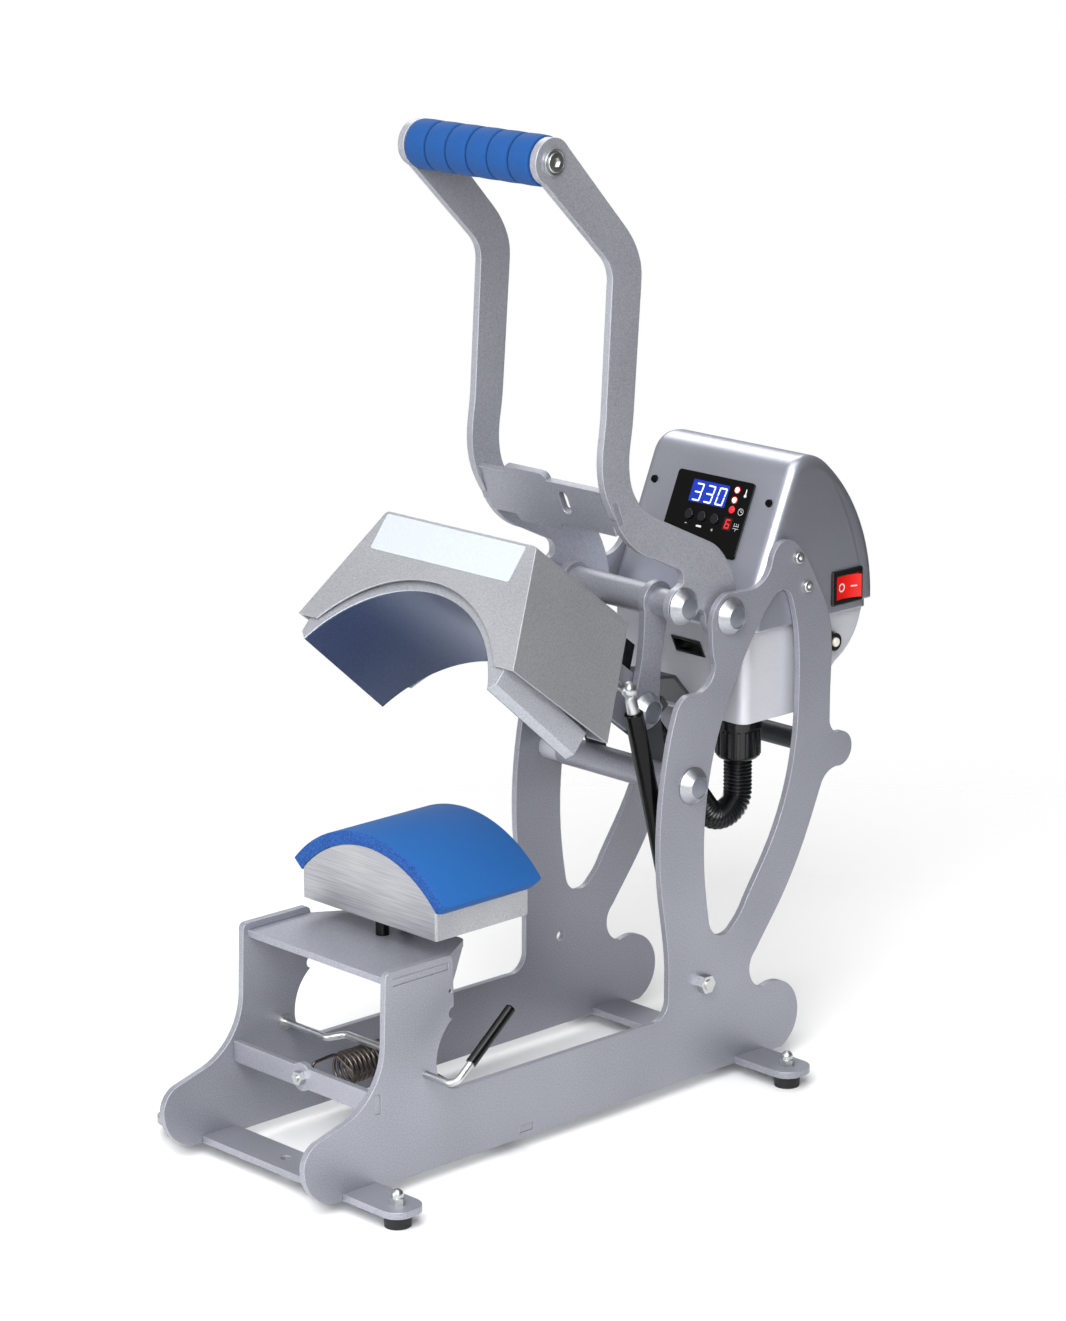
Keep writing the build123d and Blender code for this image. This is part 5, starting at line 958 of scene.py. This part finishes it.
# O and a line on the two halves of the rocker
rockerMark = {"proud": 0.12, "ring": 3.4, "stroke": 0.95, "line": 5.4, "corner": 0.15, "hover": 4,
              "cuts": (-0.3, -0.15, 0, 0.15, 0.3), "front": (467.3, 347.5), "rear": (479.2, 347.5)}
button = nodes["rocker_button"]
ringMark = loop(rockerMark["ring"], rockerMark["stroke"])
lineMark = tile(rockerMark["line"], rockerMark["stroke"], ink["thick"], rockerMark["corner"])
cutRings(lineMark, [share * rockerMark["line"] for share in rockerMark["cuts"]], (1, 0, 0))
upright = Matrix(((0, 0, 1), (1, 0, 0), (0, 1, 0)))
for mark, place in ((ringMark, rockerMark["front"]), (lineMark, rockerMark["rear"])):
    spot, facing = button.ray_cast(point(120, *place), Vector((-1, 0, 0)))[1:3]
    turn = Vector((1, 0, 0)).rotation_difference(facing).to_matrix()
    mark.rotation_euler = (turn @ upright).to_euler()
    mark.location = spot + facing * rockerMark["hover"] * mm
    settle(mark)
    for vertex in mark.data.vertices:  # the print follows the curve of the button
        lift = (vertex.co - spot).dot(facing) - rockerMark["hover"] * mm
        below = button.ray_cast(vertex.co, -facing)[1]
        vertex.co = below + facing * (rockerMark["proud"] * mm + lift)
finishPiece(joinAll([ringMark, lineMark]), "rockerMarks", "rocker", whiteMark)
print("marks added")

# Ball socket on the upper end of the gas strut: a bored ball on a short neck
strutSocket = {"ball": 6.4, "cavity": 5.15, "mouth": 4.4, "mouthDeep": 8, "mouthAt": -7,
               "neck": 4.9, "near": 3.5, "far": 19, "cuts": (-7.4, -8.6, -17.2),
               "narrowing": ((-8, 0.84), (-18, 0.96)), "place": (62, 164.6, 57.5), "foot": (62, 314.3, 68)}


def strutNeck():
    near, far = strutSocket["near"], strutSocket["far"]
    neck = cylinder(strutSocket["neck"], far - near, 48, (0, 0, -(far + near) / 2 * mm), alongX=False)
    cutRings(neck, strutSocket["cuts"], (0, 0, 1))
    for vertex in neck.data.vertices:
        for depth, share in strutSocket["narrowing"]:
            if vertex.co.z > depth * mm:
                vertex.co.x *= share
                vertex.co.y *= share
                break
    return neck


neck = strutNeck()
strutEnd = ball(strutSocket["ball"], 48)
combine(strutEnd, neck, "UNION")
combine(strutEnd, ball(strutSocket["cavity"], 32))
mouthPlace = (strutSocket["mouthAt"] * mm, 0, 0)
combine(strutEnd, cylinder(strutSocket["mouth"], strutSocket["mouthDeep"], 32, mouthPlace))
strutSpot = headPoint(*strutSocket["place"])
strutLine = point(*strutSocket["foot"]) - strutSpot
strutEnd.rotation_euler = Vector((0, 0, -1)).rotation_difference(strutLine).to_euler()
strutEnd.location = strutSpot
finishPiece(strutEnd, "strutBallSocket", "strut_cylinder", zincPlate, 40)
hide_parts("strut_socket")
print("ball socket made")

# Silver nut round the collar of the breaker
nut = {"x": 70.02, "station": 461, "height": 306, "outer": 8, "inner": 6.9, "thick": 1.8, "edge": 0.25}
nutMiddle = point(nut["x"] + nut["thick"] / 2, nut["station"], nut["height"])
breakerNut = cylinder(nut["outer"], nut["thick"], 64, nutMiddle, ends="NOTHING")
useModifier(breakerNut, "SOLIDIFY", thickness=(nut["outer"] - nut["inner"]) * mm, offset=-1)
roundEdges(breakerNut, nut["edge"], 2, 0.5)
finishPiece(breakerNut, "breakerNut", "base", zincPlate)
print("nut set")

# Bowed rear sheet of the upper housing, ending in a lip over the lower box
cover = {"station": 364.3, "height": 336.1, "radius": 142.7, "thick": 19, "round": 9, "sweep": 51.0,
         "drop": 2.1, "steps": 30, "proud": 0.04, "dive": 0.3}
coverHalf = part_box("upper_housing")[1][0] / mm + cover["proud"]
coverMiddle = point(0, cover["station"] + cover["radius"] - cover["thick"] / 2, cover["height"])
rearSheet = sheet(2 * coverHalf, cover["thick"], coverMiddle)
outerLine = max(vertex.co.y for vertex in rearSheet.data.vertices) - 1 * mm
for vertex in rearSheet.data.vertices:  # the inner edges dive under the sides of the housing
    if vertex.co.y < outerLine:
        vertex.co.x *= (coverHalf - cover["dive"]) / coverHalf
pick(rearSheet, "VERT", lambda corner: corner.co.y > outerLine)
bpy.ops.mesh.bevel(offset=cover["round"] * mm, segments=8, affect="VERTICES")
bpy.ops.mesh.select_all(action="SELECT")
bpy.ops.mesh.spin(
    steps=cover["steps"], angle=math.radians(-cover["sweep"]), axis=(1, 0, 0),
    center=point(0, cover["station"], cover["height"]),
)
leaveEdit()
faceOutwards(rearSheet)
lowLine = min(side.center.z for side in rearSheet.data.polygons) + 0.5 * mm
pick(rearSheet, "FACE", lambda side: side.normal.z < -0.9 and side.center.z < lowLine)
extrude(0, 0, -cover["drop"])
leaveEdit()
faceOutwards(rearSheet)
finishPiece(rearSheet, "rearSheet", "base", silverLacquer, 40)
print("rear sheet bowed")

# Camera, studio lamps, white surroundings and pale floor
view = {"lens": 114.19, "sensor": 36, "place": (2.1624, -2.0429, 1.1315), "turn": (75.101, 0.26, 46.469),
        "reach": 30}
cameraData = bpy.data.cameras.new("camera")
cameraData.sensor_fit = "AUTO"
cameraData.sensor_width = view["sensor"]
cameraData.lens = view["lens"]
cameraData.clip_end = view["reach"]
camera = bpy.data.objects.new("camera", cameraData)
camera.location = view["place"]
camera.rotation_euler = [math.radians(angle) for angle in view["turn"]]
bpy.context.scene.collection.objects.link(camera)
bpy.context.scene.camera = camera

studio = {
    "lamps": (
        ("front", 1.5, 72, (1.3, -1.45, 1.6)),
        ("low", 0.9, 16, (-0.35, -2.1, 0.6)),
        ("back", 1.6, 24, (-1.5, 1.2, 2.2)),
        ("top", 2.0, 28, (0.2, -0.6, 2.6)),
    ),
    "aim": (0, 0, 0.35), "dim": 0.05, "open": 0.4, "openSide": (-0.66, -0.62, 0.42),
    "floorRadius": 3.0, "floorCentre": (0.5, -0.3, 0), "fade": (1.1, 1.5),
}
for name, size, power, place in studio["lamps"]:
    lampData = bpy.data.lights.new(name, "AREA")
    lampData.size = size
    lampData.energy = power
    lampObject = bpy.data.objects.new(name, lampData)
    lampObject.location = place
    aim = Vector(studio["aim"]) - Vector(place)
    lampObject.rotation_euler = aim.to_track_quat("-Z", "Y").to_euler()
    bpy.context.scene.collection.objects.link(lampObject)

# The surroundings are open and bright to the front left and overhead, dim to the rear right
world = bpy.data.worlds.new("studioWorld")
bpy.context.scene.world = world
world.use_nodes = True
worldTree = world.node_tree
worldTree.nodes.clear()
around = addNode(worldTree, "TexCoord").outputs["Generated"]
openSide = {"operation": "DOT_PRODUCT", 1: studio["openSide"]}
openness = addNode(worldTree, "VectorMath", openSide, {0: around}).outputs["Value"]
skyRange = {"From Min": -1, "To Min": studio["dim"], "To Max": studio["open"]}
sky = addNode(worldTree, "MapRange", skyRange, {"Value": openness})
white = {"Color": (1, 1, 1, 1)}
soft = addNode(worldTree, "Background", white, {"Strength": sky})
bright = addNode(worldTree, "Background", white | {"Strength": 1.0})
path = addNode(worldTree, "LightPath").outputs
seenRays = {0: path["Is Camera Ray"], 1: path["Is Transmission Ray"]}
seen = addNode(worldTree, "Math", {"operation": "MAXIMUM"}, seenRays)
worldMix = addNode(worldTree, "MixShader", links={0: seen, 1: soft, 2: bright})
addNode(worldTree, "OutputWorld", links={"Surface": worldMix})

# The floor fades into the white background away from the press
bpy.ops.object.select_all(action="DESELECT")
bpy.ops.mesh.primitive_circle_add(vertices=96, radius=studio["floorRadius"], fill_type="NGON")
floor = bpy.context.active_object
floor.name = "floor"
floorPaint, floorTree, floorShader, floorPlace = newMaterial("paleFloor")
setShader(floorTree, floorShader, {}, {"Base Color": colour("#F4F4F4"), "Roughness": 0.9})
fromCentre = {"operation": "DISTANCE", 1: studio["floorCentre"]}
away = addNode(floorTree, "VectorMath", fromCentre, {0: floorPlace}).outputs["Value"]
start, end = studio["fade"]
fade = addNode(floorTree, "MapRange", {"From Min": start, "From Max": end}, {"Value": away})
clear = addNode(floorTree, "BsdfTransparent")
floorMix = addNode(floorTree, "MixShader", links={0: fade, 1: floorShader, 2: clear})
floorTree.links.new(floorMix.outputs[0], floorTree.nodes["Material Output"].inputs["Surface"])
paint(floor, floorPaint)
bpy.context.scene.view_settings.view_transform = "Standard"
print("studio set")
